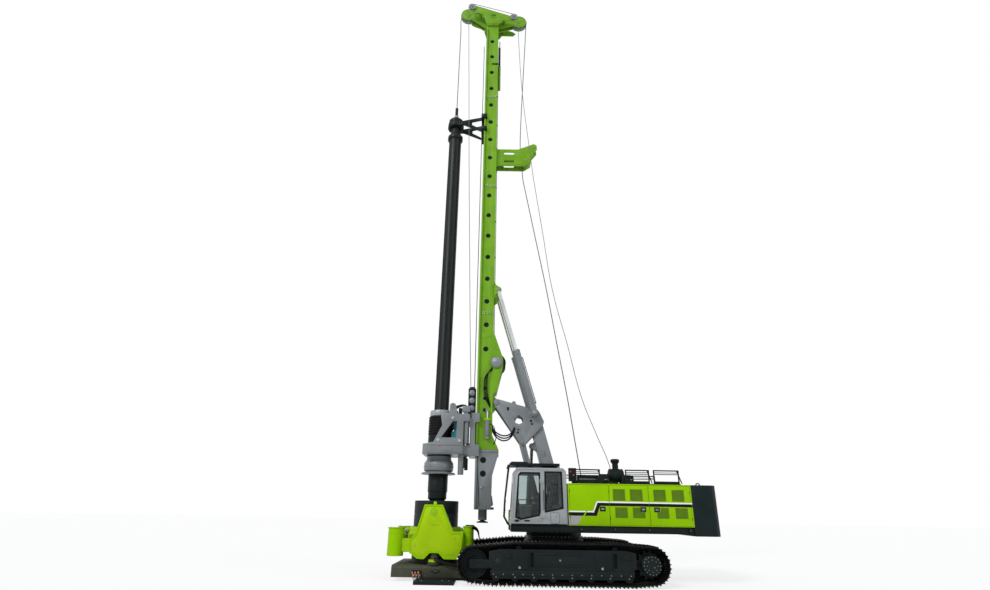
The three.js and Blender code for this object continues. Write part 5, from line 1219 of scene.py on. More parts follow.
def dress_door(node, bay, side):
    x0, x1 = DOORS[bay]
    parts = door_stripes(x0, x1, side)
    for a, b in UPPER_GRILLES.get(bay, []):
        parts += grille_shape(a, b, 2248, 2572, side)
    for a, b, notch in LOWER_GRILLES.get(bay, []):
        parts += grille_shape(a, b, 1772, 2066, side, notch)
    if x0 < 600:
        parts.append(plate([(700, 1770), (742, 1770), (880, 1982), (838, 1982)], y_out(side, 1.0),
            y_out(side, 2.8), "y", 0))
    parts += latch_shape(*LATCHES[bay], side)
    hinge_x = x0 + 6 if bay != "rear" else x1 - 6
    for z in [1760, 2500]:
        y = y_out(side, 0.5)
        parts.append((rod((hinge_x, y, z - 45), (hinge_x, y, z + 45), 5.5, 10), 2))
    eased_copy(node, None, 5, parts, [lime, white_line, rubber, panel_grey, black_paint,
        fitting_steel])


for bay in DOORS:
    dress_door("hood_door_left_" + bay, bay, -1)
for bay in ["middle", "rear"]:
    dress_door("hood_door_right_" + bay, bay, 1)
print("five hood doors dressed")

# %% [markdown]
# The shell between the doors takes the same stripes on its narrow strips. On the far side the
# front bay has a fixed panel instead of a door. The roof of the hood gets seams and filler caps.

# %% Hood shell and fixed panel
shell_parts = []
for side in [-1, 1]:
    for x0, x1 in [(HOOD_FRONT, 340), (3966, HOOD_REAR)]:
        shell_parts += [
            (strip_between(WHITE_LINE, x0, x1, side * HOOD_SIDE, side, 1.4), 1),
            (strip_between(BLACK_BAND, x0, x1, side * HOOD_SIDE, side, 1.0), 2)]
shell_parts.append((strip_between(GREY_PANEL, HOOD_FRONT, 340, -HOOD_SIDE, -1, 1.0), 3))
for x in [1525, 2710]:
    for y0, y1 in [(-1490, -520), (520, 1490)]:
        if x > 1980:
            y0, y1 = -1490, 1490
        shell_parts.append(block((x - 22, y0, 2718), (x + 22, y1, 2726), 3))
for x, y in [(700, -950), (700, 950), (2500, 500), (3400, -500), (3400, 500)]:
    shell_parts.append((rod((x, y, 2718), (x, y, 2736), 70, 28, 4), 2))
eased_copy("hood_shell", None, 9, shell_parts, [lime, white_line, rubber, panel_grey])
panel_parts = [block((346, 1466, 1571), (1519, 1499, 2684), 5)]
panel_parts += door_stripes(346, 1519, 1)
for k in range(7):
    z = 2300 + 40 * k
    panel_parts.append(plate([(1499, z), (1508, z + 6), (1508, z + 12), (1499, z + 30)], 620, 1250,
        "x", 0))
show(gather(*panel_parts), "hood_panel_right_front", [lime, white_line, rubber, panel_grey],
    "upper")
print("hood shell and far side panel")

# %% [markdown]
# ## Walkway, filters and tail
# Rails on the roof keep a fitter safe. Each set has a top bar, a thin bar, a kick plate and a
# rear post that slants. Between them stand the air cleaner with its rain cap, the exhaust and a
# hatch.

# %% Railings
def rail_details(side):
    y = side * 1300
    parts = []
    for x0, x1 in [(470, 1330), (2100, 2840), (2960, 3750)]:
        parts += [
            rod((x0 + 18, y, 3070), (x1 - 18, y, 3070), 11, 10),
            block((x0 + 10, y - 6, 2740), (x1 - 10, y + 6, 2822), 3),
            rod((x1 - 60, y, 3128), (x1 + 70, y, 2760), 17, 12)]
        for x in [x0 + 18, x1 - 18]:
            parts.append(block((x - 40, y - 36, 2721), (x + 40, y + 36, 2752), 4))
    return parts


eased_copy("railing_left", None, 7, rail_details(-1), [black_paint])
eased_copy("railing_right", None, 7, rail_details(1), [black_paint])
box_parts = [
    block((352, -1400, 2780), (592, -1322, 3170), 14),
    (pin(412, 3060, -1402, -1424, 22, 20, 6), 1),
    (pin(502, 2960, -1402, -1424, 22, 20, 6), 1),
    block((352, -1410, 2880), (572, -1398, 2888), 2),
    rod((462, -1360, 2721), (462, -1360, 2800), 20, 12)]
show(gather(*box_parts), "lamp_box", [black_paint, signal_red], "upper")
hatch = gather(
    block((2010, -1240, 2721), (2268, -860, 2985), 18),
    block((2002, -1248, 2975), (2276, -852, 2998), 8),
    (pin(2139, 2860, -1240, -1252, 20, 16, 3), 1),
    plate([(1226, 2721), (1460, 2721), (1440, 2960), (1250, 2960)], -1330, -1322, "y", 2),
    block((880, -900, 2721), (1180, -640, 2840), 14))
for x0, x1, z1 in [(650, 1290, 2985), (1330, 1600, 3020), (2110, 2370, 2990)]:
    put(hatch, block((x0, -1220, 2721), (x1, -1000, z1), 12))
    for k in range(3):
        put(hatch, block((x0 + 40, -1226, 2790 + 62 * k), (x1 - 40, -1218, 2808 + 62 * k), 2),
            1 if k == 1 else 0)
show(hatch, "roof_boxes", [black_paint, fitting_steel], "upper")
print("railings, lamp box and hatch")

# %% Air cleaner and exhaust
X, Y, Z = 1890, -930, 2995
barrel = turned([(0, -250), (90, -250), (98, -244), (100, -232), (160, -228), (186, -216),
    (192, -200), (205, -198), (205, -182), (192, -180), (192, 20), (200, 24), (200, 40), (192, 44),
    (192, 180), (205, 182), (205, 200), (190, 204), (184, 220), (160, 232), (100, 238), (96, 248),
    (0, 250)], (X, Y, Z), "x", 56)
stack = turned([(0, 40), (92, 40), (92, 250), (98, 254), (98, 272), (92, 276), (92, 350),
    (100, 366), (128, 412), (138, 424), (138, 466), (130, 480), (100, 494), (0, 495)], (X, Y, Z),
    "z", 56)
straps = gather(
    washer(194, 204, -120, -84, (X, Y, Z), "x", 48),
    washer(194, 204, 84, 120, (X, Y, Z), "x", 48),
    block((X - 180, Y - 130, 2720.5), (X - 120, Y + 130, 2830), 6),
    block((X + 120, Y - 130, 2720.5), (X + 180, Y + 130, 2830), 6))
fins = bmesh.new()
for k in range(20):
    a = 2 * math.pi * k / 20
    put(fins, rod((X + 104 * math.cos(a), Y + 104 * math.sin(a), Z + 368),
        (X + 130 * math.cos(a), Y + 130 * math.sin(a), Z + 412), 4, 5))
piece = show(gather((barrel, 0), (stack, 0), (straps, 1), (fins, 1)), "air_filter",
    [black_paint, dark_paint], "upper", 50)
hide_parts("air_cleaner")
X, Y = 2150, 840
silencer = turned([(0, -380), (150, -380), (176, -366), (190, -340), (190, 340), (176, 366),
    (150, 380), (0, 380)], (X - 50, Y, 2930), "y", 44)
pipe = turned([(0, 2830), (88, 2830), (88, 3010), (98, 3014), (98, 3034), (88, 3038), (88, 3190),
    (0, 3190)], (X, Y, 0), "z", 40)
mouth = plate([(X - 88, 3130), (X + 88, 3175), (X + 262, 3250), (X + 248, 3308), (X + 60, 3262),
    (X - 88, 3220)], Y - 74, Y + 74, "y", 20, 3)
feet = gather(
    block((X - 160, Y - 300, 2720.5), (X + 60, Y - 240, 2845), 6),
    block((X - 160, Y + 240, 2720.5), (X + 60, Y + 300, 2845), 6),
    washer(192, 200, -290, -250, (X - 50, Y, 2930), "y", 40),
    washer(192, 200, 250, 290, (X - 50, Y, 2930), "y", 40))
piece = show(gather(silencer, pipe, mouth, feet), "exhaust_stack", dark_paint, "upper",
    50)
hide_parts("exhaust")
print("air cleaner and exhaust")

# %% [markdown]
# The counterweight is cast in one heavy block. Two lifting rings, plain strips and two round tail
# lamps stand on it. The slewing frame under the hood gets its ribs and the small brackets that
# hold doors.

# %% Counterweight, slewing frame, engine and far side box
tail = []
for y in [-1050, 1050]:
    tail += [
        rod((4768, y, 2400), (4784, y, 2400), 66, 28, 6),
        (rod((4782, y, 2400), (4790, y, 2400), 48, 28, 4), 1),
        (washer(40, 74, -16, 16, (4380, y, 2735), "y", 28), 2)]
for z in [1560, 2580]:
    tail.append(block((4764, -1180, z), (4779, 1180, z + 26), 6))
for y in [-1504, 1496]:
    tail += [
        block((4060, y, 1420), (4600, y + 8, 1436), 3),
        block((4060, y, 2600), (4600, y + 8, 2616), 3)]
eased_copy("counterweight", None, 22, tail, [dark_paint, signal_red, fitting_steel])
extra = []
for side in [-1, 1]:
    for x in [665, 1657, 2662, 3863]:
        extra += [
            block((x - 34, side * 1448, 1400), (x + 34, side * 1486, 1500), 7),
            (pin(x, 1450, side * 1484, side * 1494, 13, 6), 1)]
    extra.append(block((-1380, side * 1450, 1380), (3960, side * 1462, 1402), 4))
extra.append((bolts((0, 0, 1345), 905, 40, 14, -18, "z"), 1))
eased_copy("slew_frame", None, 9, extra, [black_paint, fitting_steel])
motor = [block((2300, -300, 2495), (3500, 300, 2560), 20)]
for k in range(6):
    motor.append(block((2380 + 190 * k, -452, 1900), (2480 + 190 * k, -444, 2400), 6))
eased_copy("engine_block", None, 14, motor, [cast_grey])
box_extra = []
for k in range(9):
    z = 1750 + 62 * k
    box_extra.append(plate([(1488, z), (1500, z + 8), (1500, z + 16), (1488, z + 40)], -480, 120,
        "x", 0))
box_extra += [
    plate(rounded(-1350, -520, 1600, 1900, 30), 1488, 1496, "y", 3),
    (pin(-600, 1750, 1494, 1506, 22, 20, 3), 1)]
eased_copy("side_box", None, 14, box_extra, [lime, fitting_steel])
print("tail, slewing frame, engine and far side box")

# %% [markdown]
# The winch drums hold the kelly rope and the auxiliary rope. A wound drum is a row of rounded
# ridges, one per turn of rope, so the profile that is spun is a line of small arcs between two
# flanges.

# %% Winch drums
def wound_drum(x, z, radius, half=400, rope=14):
    ridges = []
    turns = int((2 * half - 100) / (2 * rope))
    for k in range(turns):
        middle = -half + 50 + rope + 2 * rope * k
        ridges += [(radius + 8 + rope * math.cos(a), middle + rope * math.sin(a)) for a in (-1.2,
            -0.6, 0.0, 0.6, 1.2)]
    coil = turned([(radius - 20, -half + 40)] + ridges + [(radius - 20, half - 40)], (x, 0, z), "y",
        40)
    body = [(60, -475), (60, -half), (radius + 60, -half), (radius + 70, -half + 8),
        (radius + 70, -half + 32), (radius + 60, -half + 40), (radius - 10, -half + 40)]
    other = [(r, -h) for r, h in reversed(body)]
    drum = turned([(0, -475)] + body + other + [(0, 475)], (x, 0, z), "y", 44)
    heads = gather(bolts((x, -half, z), radius - 60, 10, 14, -12, "y"),
        bolts((x, half, z), radius - 60, 10, 14, 12, "y"))
    return gather((drum, 0), (coil, 1), (heads, 2))


for node, x, z, radius in [("main_winch", 740, 2440, 250), ("aux_winch", 1560, 2430, 190)]:
    piece = show(wound_drum(x, z, radius), node + "_wound", [cast_grey, rope_finish, fitting_steel],
        node, 60)
    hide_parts(node + "_drum")
print("winch drums")

# %% [markdown]
# ## Boom, link and delta frame
# A parallel linkage sets the mast: the boom and the support link move together and the delta
# frame on their tops stays level. They are grey box sections, and every pin shows a round cover
# with bolts.

# %% Linkage
def pin_cover(x, z, y_face, side, radius, rise=16, count=6):
    """A round keeper plate over the end of a pin."""
    cap = turned([(0, side * rise), (radius * 0.55, side * rise),
        (radius * 0.62, side * (rise - 4)), (radius - 4, side * (rise - 4)),
        (radius, side * (rise - 8)), (radius, 0), (0, 0)], (x, y_face, z), "y", 36)
    head = bolts((x, y_face + side * (rise - 5), z), radius * 0.8, count, 8, side * 7, "y", 0.3)
    return [(cap, 0), (head, 1)]


parts = []
for side in [-1, 1]:
    parts += pin_cover(24, 2600, side * 478, side, 96)
    parts.append(plate([(-150, 3300), (-330, 3850), (-390, 3835), (-215, 3290)], side * 300,
        side * 312, "y", 3))
eased_copy("boom_arm", None, 12, parts, [arm_grey, fitting_steel])
parts = []
for side in [-1, 1]:
    parts += pin_cover(-990, 4040, side * 242, side, 72, 14)
eased_copy("support_link", None, 9, parts, [arm_grey, fitting_steel])
parts = []
for side in [-1, 1]:
    parts += pin_cover(-1870, 5350, side * 312, side, 104, 18, 8)
    parts += pin_cover(-1240, 4880, side * 311, side, 60, 10)
    parts.append(washer(60, 84, 0, side * 7, (-1120, side * 310, 4480), "y", 32))
    cap = hollow([(72, side * 2), (150, side * 2), (150, side * 20), (140, side * 26),
        (72, side * 26)])
    parts += [
        turned(cap, (-640, side * 310, 4985), "y", 40),
        block((-720, side * 312, 4968), (-560, side * 344, 5002), 6),
        (pin(-1480, 5150, side * 308, side * 313, 40, 20), 2),
        (pin(-700, 4740, side * 308, side * 313, 40, 20), 2),
        (pin(-1130, 4440, side * 308, side * 313, 40, 20), 2)]
    for u in [-1160, -1080]:
        parts.append((block((u - 16, side * 296, 4900), (u + 16, side * 308, 4990), 5), 2))
eased_copy("delta_frame", None, 9, parts, [arm_grey, fitting_steel, rubber])
print("boom, support link and delta frame")

# %% [markdown]
# ## Hydraulic rams
# A ram is a honed tube with a bolted gland and a chromed rod that ends in an eye. Both are round,
# so their profiles are spun about the line from foot to eye.

# %% Rams
def ram_pieces(foot, eye, ys, tube_r, rod_r, tube_length, eye_r, eye_half, shaft_r, shaft_half):
    a, b = Vector(foot), Vector(eye)
    reach = (b - a).length
    way = Vector((b.x - a.x, 0, b.y - a.y)).normalized()
    tubes, rods = [], []
    for y in ys:
        centre = (a.x, y, a.y)
        tubes += [
            turned([(0, eye_r * 0.4), (tube_r * 0.75, eye_r * 0.4), (tube_r, eye_r + 26),
                (tube_r, tube_length - 190), (tube_r + 8, tube_length - 184),
                (tube_r + 8, tube_length - 140), (tube_r, tube_length - 134),
                (tube_r, tube_length - 70), (tube_r + 10, tube_length - 64),
                (tube_r + 10, tube_length - 8), (tube_r + 2, tube_length), (rod_r + 2, tube_length),
                (rod_r + 2, tube_length - 40)], centre, way, 44),
            pin(a.x, a.y, y - eye_half, y + eye_half, eye_r, 36, 6)]
        out = Vector((way.z, 0, -way.x))
        for share in [0.14, 0.86]:
            p = Vector((a.x, y, a.y)) + way * tube_length * share
            q = p + out * (tube_r + 34)
            tubes.append((rod(tuple(p), tuple(q), 20, 12, 2), 1))
        p = Vector((a.x, y, a.y)) + way * tube_length * 0.14 + out * (tube_r + 26)
        q = Vector((a.x, y, a.y)) + way * tube_length * 0.86 + out * (tube_r + 26)
        tubes.append((rod(tuple(p), tuple(q), 13, 10), 1))
        rods += [
            turned([(0, 0.18 * reach), (rod_r, 0.18 * reach), (rod_r, reach - eye_r - 4),
                (rod_r + 14, reach - eye_r + 10), (rod_r + 14, reach - eye_r * 0.5),
                (0, reach - eye_r * 0.5)], centre, way, 40),
            (turned(hollow([(74 if eye_r > 100 else 58, -eye_half), (eye_r - 5, -eye_half),
                (eye_r, -eye_half + 5), (eye_r, eye_half - 5), (eye_r - 5, eye_half),
                (74 if eye_r > 100 else 58, eye_half)]), (b.x, y, b.y), "y", 36), 1)]
    tubes.append((pin(a.x, a.y, -shaft_half, shaft_half, shaft_r, 28, 6), 2))
    return gather(*tubes), gather(*rods)


tubes, rods = ram_pieces((-600, 4980), (-1860, 9410), (-455, 455), 130, 75, 2250, 120, 60, 70, 598)
piece = show(tubes, "mast_ram_barrels", [arm_grey, dark_paint, fitting_steel], "mast_tubes",
    50)
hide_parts("mast_ram_tubes")
piece = show(rods, "mast_ram_rods", [chrome, arm_grey], "mast_rods", 50)
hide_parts("mast_ram_rod_left", "mast_ram_rod_right")
tubes, rods = ram_pieces((-800, 1720), (-660, 3950), (0,), 105, 55, 1250, 95, 60, 45, 118)
piece = show(tubes, "luff_ram_barrel", [arm_grey, dark_paint, fitting_steel], "luff_tube",
    50)
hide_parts("luff_ram_tube")
piece = show(rods, "luff_ram_piston", [chrome, arm_grey], "luff_rod", 50)
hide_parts("luff_ram_rod")
print("four rams")

# %% [markdown]
# ## Mast
# The mast is a tall green box with rails along its front for the drive. A row of round holes runs
# up its side, each with a black ring and a black disc set a little inside as painted shade for the
# dark hollow of the hole, and bolted flanges join its lengths. A vertical hose run and cable clips
# follow its rear edge.

# %% Mast body
MAST_FRONT, MAST_REAR, MAST_MID = -2540, -2000, -2270
mast_parts = []
MAST_TOP, FIRST_HOLE, HOLE_PITCH = 22550, 7206, 900
hole_heights = range(FIRST_HOLE, MAST_TOP - HOLE_PITCH, HOLE_PITCH)
for z in hole_heights:
    for side in [-1, 1]:
        # The black ring and the black disc inside each hole are painted shade for the dark hollow
        # of the mast.
        mast_parts += [
            (turned(hollow([(66, side * 3), (92, side * 3), (92, side * -1), (78, side * -22),
                (66, side * -22)]), (MAST_MID, side * 361, z), "y", 28), 1),
            (pin(MAST_MID, z, side * 318, side * 326, 110, 24), 1)]
for z in [8560, 13960, 18460]:
    for side in [-1, 1]:
        x0, x1 = MAST_FRONT + 70, MAST_REAR - 10
        mast_parts += [
            block((x0, side * 356, z - 58), (x1, side * 374, z - 3), 6),
            block((x0, side * 356, z + 3), (x1, side * 374, z + 58), 6)]
        for k in range(5):
            x = x0 + 50 + 88 * k
            mast_parts.append((rod((x, side * 366, z - 72), (x, side * 366, z + 72), 12, 6), 2))
for z in [5074, 5469, 5809]:
    for side in [-1, 1]:
        mast_parts.append((pin(MAST_MID, z, side * 358, side * 363, 62, 24, 2), 1))
for side in [-1, 1]:
    ends = [side * 522, side * 540]
    mast_parts += [
        plate([(-2010, 9180), (-1860, 9290), (-1775, 9350), (-1760, 9430), (-1800, 9500),
            (-1900, 9560), (-2010, 9680)], ends[0], ends[1], "y", 3),
        block((-2020, side * 350, 9560), (-1990, side * 540, 9690), 4),
        (pin(-1860, 9410, side * 538, side * 556, 56, 24, 5), 4)]
for z in range(6200, 21800, 1560):
    mast_parts.append((block((MAST_REAR - 2, -150, z), (MAST_REAR + 26, -60, z + 46), 4), 3))
for side in [-1, 1]:
    mast_parts += [
        (turned([(0, side * 44), (70, side * 44), (82, side * 36), (150, side * 32),
            (168, side * 24), (176, side * 14), (196, side * 12), (200, side * 6), (200, 0),
            (0, 0)], (-1888, side * 402, 6730), "y", 48), 4),
        (bolts((-1888, side * 414, 6730), 186, 14, 10, side * 9, "y"), 2),
        turned([(205, side * 2), (215, side * 2), (222, side * -4), (222, side * -40),
            (205, side * -40)], (-1888, side * 402, 6730), "y", 48),
        washer(52, 86, 0, side * 14, (-1860, side * 361, 9410), "y", 32)]
    ends = [side * 359, side * 367]
    mast_parts.append(plate([(-2440, 7560), (-2070, 7680), (-2070, 7800), (-2440, 7800)], ends[0],
        ends[1], "y", 3))
mast_parts += [
    block((MAST_REAR - 2, -90, 19180), (MAST_REAR + 120, 90, 20460), 12),
    (rod((MAST_REAR + 70, 0, 20520), (MAST_REAR + 70, 0, 21600), 38, 20, 5), 3),
    (rod((MAST_REAR + 70, 0, 21600), (MAST_REAR + 70, 0, 21980), 20, 14, 2), 2)]
for side in [-1, 1]:
    ends = [side * 358, side * 372]
    mast_parts.append((block((MAST_FRONT + 270, ends[0], 20250), (MAST_REAR + 20, ends[1], 20330),
        5), 3))
eased_copy("mast", None, 9, mast_parts, [mast_green, black_paint, fitting_steel,
    dark_paint, cast_grey])

lower = []
for z in [3450, 3030]:
    for side in [-1, 1]:
        # The black ring and the black disc inside each hole are painted shade for the dark hollow
        # of the lower mast.
        lower += [
            (turned(hollow([(70, side * 3), (96, side * 3), (96, side * -1), (80, side * -20),
                (70, side * -20)]), (MAST_MID - 10, side * 361, z), "y", 28), 1),
            (pin(MAST_MID - 10, z, side * 318, side * 326, 120, 24), 1)]
for side in [-1, 1]:
    ends = [side * 356, side * 376]
    lower += [
        block((MAST_FRONT + 62, ends[0], 3700), (MAST_REAR + 205, ends[1], 3776), 7),
        block((MAST_FRONT + 70, ends[0], 2630), (MAST_REAR - 10, ends[1], 2660), 5)]
    for k in range(6):
        x = MAST_FRONT + 110 + 100 * k
        lower.append((rod((x, side * 366, 3690), (x, side * 366, 3776), 12, 6), 2))
    lower.append((bolts((MAST_MID, side * 361, 2240), 110, 8, 12, side * 10, "y"), 2))
lower += [
    (turned([(0, 1561), (176, 1561), (185, 1570), (185, 1584), (172, 1594), (74, 1622), (74, 1660),
        (0, 1660)], (MAST_MID, 0, 0), "z", 40), 3),
    plate([(MAST_REAR - 2, 2030), (MAST_REAR + 70, 2090), (MAST_REAR + 30, 2340),
        (MAST_REAR - 2, 2400)], -330, -290, "y", 4),
    (block((MAST_REAR - 6, -340, 1952), (MAST_REAR + 90, -260, 2020), 8), 1),
    (pin(MAST_MID - 60, 2600, -360, -392, 34, 16, 4), 2),
    (rod((MAST_MID - 90, -380, 2600), (MAST_MID - 10, -380, 2600), 14, 12, 3), 2)]
eased_copy("lower_mast", None, 9, lower, [arm_grey, black_paint, fitting_steel,
    dark_paint])
print("mast with", len(hole_heights), "holes and lower mast")

# %% [markdown]
# The head carries two large sheaves for the kelly rope between its plates and two small ones for
# the auxiliary rope on its near side. A sheave is a turned wheel with a deep groove and a ribbed
# web.

# %% Mast head, sheaves and rope guide
def sheave_shape(x, z, y, rim, half, hub, pin_half, pin_r):
    wheel = turned(hollow([(pin_r, -half), (hub, -half), (hub + 8, -half + 10), (hub + 14, -8),
        (rim - 75, -8), (rim - 62, -half + 6), (rim - 4, -half), (rim, -half + 4),
        (rim, -half + 10), (rim - 34, -12), (rim - 34, 12), (rim, half - 10), (rim, half - 4),
        (rim - 4, half), (rim - 62, half - 6), (rim - 75, 8), (hub + 14, 8), (hub + 8, half - 10),
        (hub, half), (pin_r, half)]), (x, y, z), "y", 56)
    ribs = bmesh.new()
    for k in range(8):
        a = 2 * math.pi * k / 8
        u0, u1 = hub + 6, rim - 66
        put(ribs, rod((x + u0 * math.cos(a), y, z + u0 * math.sin(a)),
            (x + u1 * math.cos(a), y, z + u1 * math.sin(a)), half * 0.4, 8))
    axle = turned([(0, -pin_half), (pin_r - 6, -pin_half), (pin_r, -pin_half + 6),
        (pin_r, pin_half - 6), (pin_r - 6, pin_half), (0, pin_half)], (x, y, z), "y", 28)
    return [(wheel, 0), (ribs, 0), (axle, 1)]


HEAD_FRONT, HEAD_REAR = (-3400, 23530), (-1070, 23120)
for name, (x, z) in [("front", HEAD_FRONT), ("rear", HEAD_REAR)]:
    piece = show(gather(*sheave_shape(x, z, 0, 374, 55, 120, 127, 69)), "rope_sheave_" + name,
        [cast_grey, fitting_steel], "sheave_" + name)
    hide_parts("head_sheave_" + name)
head = []
for side in [-1, 1]:
    for x, z in [HEAD_FRONT, HEAD_REAR]:
        head += pin_cover(x, z, side * 118, side, 118, 14, 8)
        head.append(washer(318, 344, 0, side * 9, (x, side * 117, z), "y", 48))
    for x, z in [(-3100, 23560), (-1380, 22960)]:
        head += pin_cover(x, z, side * 449, side, 76, 12)
    head += [
        washer(128, 160, 0, side * 8, (-2250, side * 449, 23060), "y", 36),
        (bolts((-2270, side * 429, 22700), 150, 10, 14, side * 14, "y"), 1)]
head.append(rod((-2600, 0, 22555), (-2600, 0, 22700), 60, 20, 6))
eased_copy("mast_head", None, 9, head, [mast_green, fitting_steel])
aux_parts = []
for x, z in [(-3230, 23590), (-1300, 22990)]:
    aux_parts += sheave_shape(x, z, -500, 165, 30, 60, 62, 34)
show(gather(*aux_parts), "aux_rope_sheaves", [cast_grey, fitting_steel], "mast")
guide_parts = []
for side in [-1, 1]:
    guide_parts += pin_cover(-440, 16000, side * 195, side, 78, 12)
    guide_parts += pin_cover(-790, 15340, side * 195, side, 90, 12)
    guide_parts.append((bolts((-1900, side * 196, 15450), 70, 6, 12, side * 10, "y"), 1))
eased_copy("rope_guide", None, 7, guide_parts, [mast_green, fitting_steel])
print("head sheaves, auxiliary sheaves and rope guide")

# %% Crowd winch drum
ridges = []
for k in range(18):
    middle = -248 + 14 + 28 * k
    ridges += [(288 + 12 * math.cos(a), middle + 13 * math.sin(a)) for a in (-1.2, 0.0, 1.2)]
coil = turned([(280, -258)] + ridges + [(280, 268)], (-1888, 0, 6730), "y", 40)
drum = turned([(0, -399), (152, -399), (159, -392), (159, -290), (322, -290), (329, -284),
    (329, -266), (322, -260), (270, -258), (270, 258), (322, 260), (329, 266), (329, 284),
    (322, 290), (159, 290), (159, 392), (152, 399), (0, 399)], (-1888, 0, 6730), "y", 44)
piece = show(gather((drum, 0), (coil, 1)), "crowd_drum_wound", [dark_paint, rope_finish],
    "crowd_drum", 60)
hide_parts("crowd_winch_drum")
print("crowd winch drum")

# %% [markdown]
# ## Rotary drive
# The drive slides on the mast's rails and turns the sleeve that grips the kelly bar. Grey plates
# hold the gearbox, teal motors stand on it, and a bolted lifting lug rises at each side. Blocks,
# covers and bolts are added to the eased plate work.

# %% Drive frame
drive = []
for side in [-1, 1]:
    y = side * 700
    for x, z in [(-3750, 4030), (-3060, 4010), (-3300, 4740)]:
        drive += [
            (turned([(0, side * 26), (46, side * 26), (58, side * 16), (62, 0), (0, 0)], (x, y, z),
                "y", 32), 1),
            (bolts((x, y + side * 12, z), 52, 6, 6, side * 8, "y"), 2)]
    drive.append(washer(40, 66, 0, side * 12, (-3317, y, 5130), "y", 28))
    ends = [y - side * 4, y + side * 14]
    drive += [
        block((-4090, ends[0], 3640), (-2960, ends[1], 3665), 4),
        block((-4090, ends[0], 3868), (-2960, ends[1], 3893), 4),
        (bolts((-3940, y + side * 2, 3765), 74, 8, 10, side * 10, "y"), 2),
        plate(rounded(-3640, -3260, 3690, 3850, 30), y, y + side * 10, "y", 2)]
    ends = sorted([side * 470, side * 640])
    drive += [
        block((-3000, ends[0], 4950), (-2740, ends[1], 5150), 14),
        (block((-3120, ends[0], 4900), (-3010, ends[1], 5080), 10), 3),
        block((-2900, ends[0], 3930), (-2800, ends[1] - 40 * side, 4930), 10),
        (rod((-2870, side * 420, 3560), (-2870, side * 420, 3180), 60, 20, 6), 3)]
    for z in [3640, 4840]:
        drive.append((bolts((-2650, side * 512, z), 60, 6, 11, side * 9, "y"), 2))
drive += [
    (bolts((KELLY_X, 0, 3922), 560, 24, 16, 16, "z"), 2),
    (pin(-3690, 3840, -704, -714, 24, 16, 3), 4)]
for z, r in [(2990, 84), (3200, 100), (3520, 104)]:
    drive.append(washer(r - 12, r, z, z + 36, (-3000, -430, 0), "z", 28))
eased_copy("drive_frame", None, 9, drive, [arm_grey, pale_cover, fitting_steel,
    dark_paint, signal_red])
print("drive frame")

# %% Drive motors
motors = []
for y in [-380, 380]:
    motors += [
        turned([(0, 3990), (128, 3990), (135, 3998), (135, 4090), (128, 4096), (128, 4110),
            (135, 4116), (135, 4230), (128, 4236), (128, 4250), (135, 4256), (135, 4338),
            (122, 4350), (104, 4352), (104, 4540), (96, 4560), (0, 4562)], (-3170, y, 0), "z", 40),
        (bolts((-3170, y, 4344), 118, 10, 9, 10, "z"), 1),
        block((-3242, y - 62, 4550), (-3098, y + 62, 4652), 12),
        block((-3345, y - 110, 3990), (-3215, y + 110, 4330), 26)]
    for k in range(2):
        motors.append((rod((-3242, y - 30 + 60 * k, 4600), (-3290, y - 30 + 60 * k, 4600), 20, 12,
            2), 1))
eased_copy("drive_motors", None, 6, motors, [motor_teal, fitting_steel])

# %% [markdown]
# The sleeve is one long turned piece. From the top: a pale split collar, ribbed black bellows
# that keep dirt out, the gearbox seat, then the bolted driving ring and flange under the gearbox.

# %% Drive sleeve
def wave(z0, z1, low, high, count):
    points = []
    step = (z1 - z0) / count
    for k in range(count):
        points += [(low, z0 + step * k), (high, z0 + step * (k + 0.3)),
            (high, z0 + step * (k + 0.62)), (low, z0 + step * (k + 0.95))]
    return points


sleeve_parts = [
    turned([(342, 3000), (552, 3000), (560, 3008), (560, 3032), (552, 3038), (430, 3072),
        (424, 3090), (472, 3108), (480, 3116), (480, 3360), (472, 3370), (424, 3425), (404, 3470),
        (400, 3560), (342, 3560)], (KELLY_X, 0, 0), "z", 72),
    (washer(342, 399, 3560, 4250, (KELLY_X, 0, 0), "z", 64), 1),
    turned(hollow([(400, 3926), (444, 3926), (450, 3932), (450, 3968), (444, 3975), (400, 4010)]),
        (KELLY_X, 0, 0), "z", 64),
    (turned([(345, 4250)] + wave(4262, 4860, 388, 411, 7) + [(370, 4872), (345, 4872)],
        (KELLY_X, 0, 0), "z", 64), 2),
    (turned(hollow([(343, 4870), (364, 4870), (370, 4876), (370, 5052), (364, 5060), (343, 5060)]),
        (KELLY_X, 0, 0), "z", 64), 3),
    (bolts((KELLY_X, 0, 3038), 510, 30, 15, 20, "z"), 4),
    (bolts((KELLY_X, 0, 3372), 445, 24, 13, 18, "z"), 4)]
for k in range(12):
    a = 2 * math.pi * k / 12
    c, s = math.cos(a), math.sin(a)
    sleeve_parts += [
        (rod((KELLY_X + 470 * c, 470 * s, 3240), (KELLY_X + 492 * c, 492 * s, 3240), 26, 6), 4),
        (rod((KELLY_X + 362 * c, 362 * s, 4890), (KELLY_X + 362 * c, 362 * s, 5046), 16, 8), 3)]
piece = show(gather(*sleeve_parts), "sleeve_assembly", [arm_grey, black_paint, rubber, pale_cover,
    fitting_steel], "sleeve", 45)
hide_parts("drive_sleeve")
print("drive motors and sleeve")

# %% [markdown]
# ## Kelly bar and its guide
# The kelly bar hangs from the rope and drops through the drive. Long key strips on it take the
# turning force. The guide above slides on the mast and keeps the bar upright.

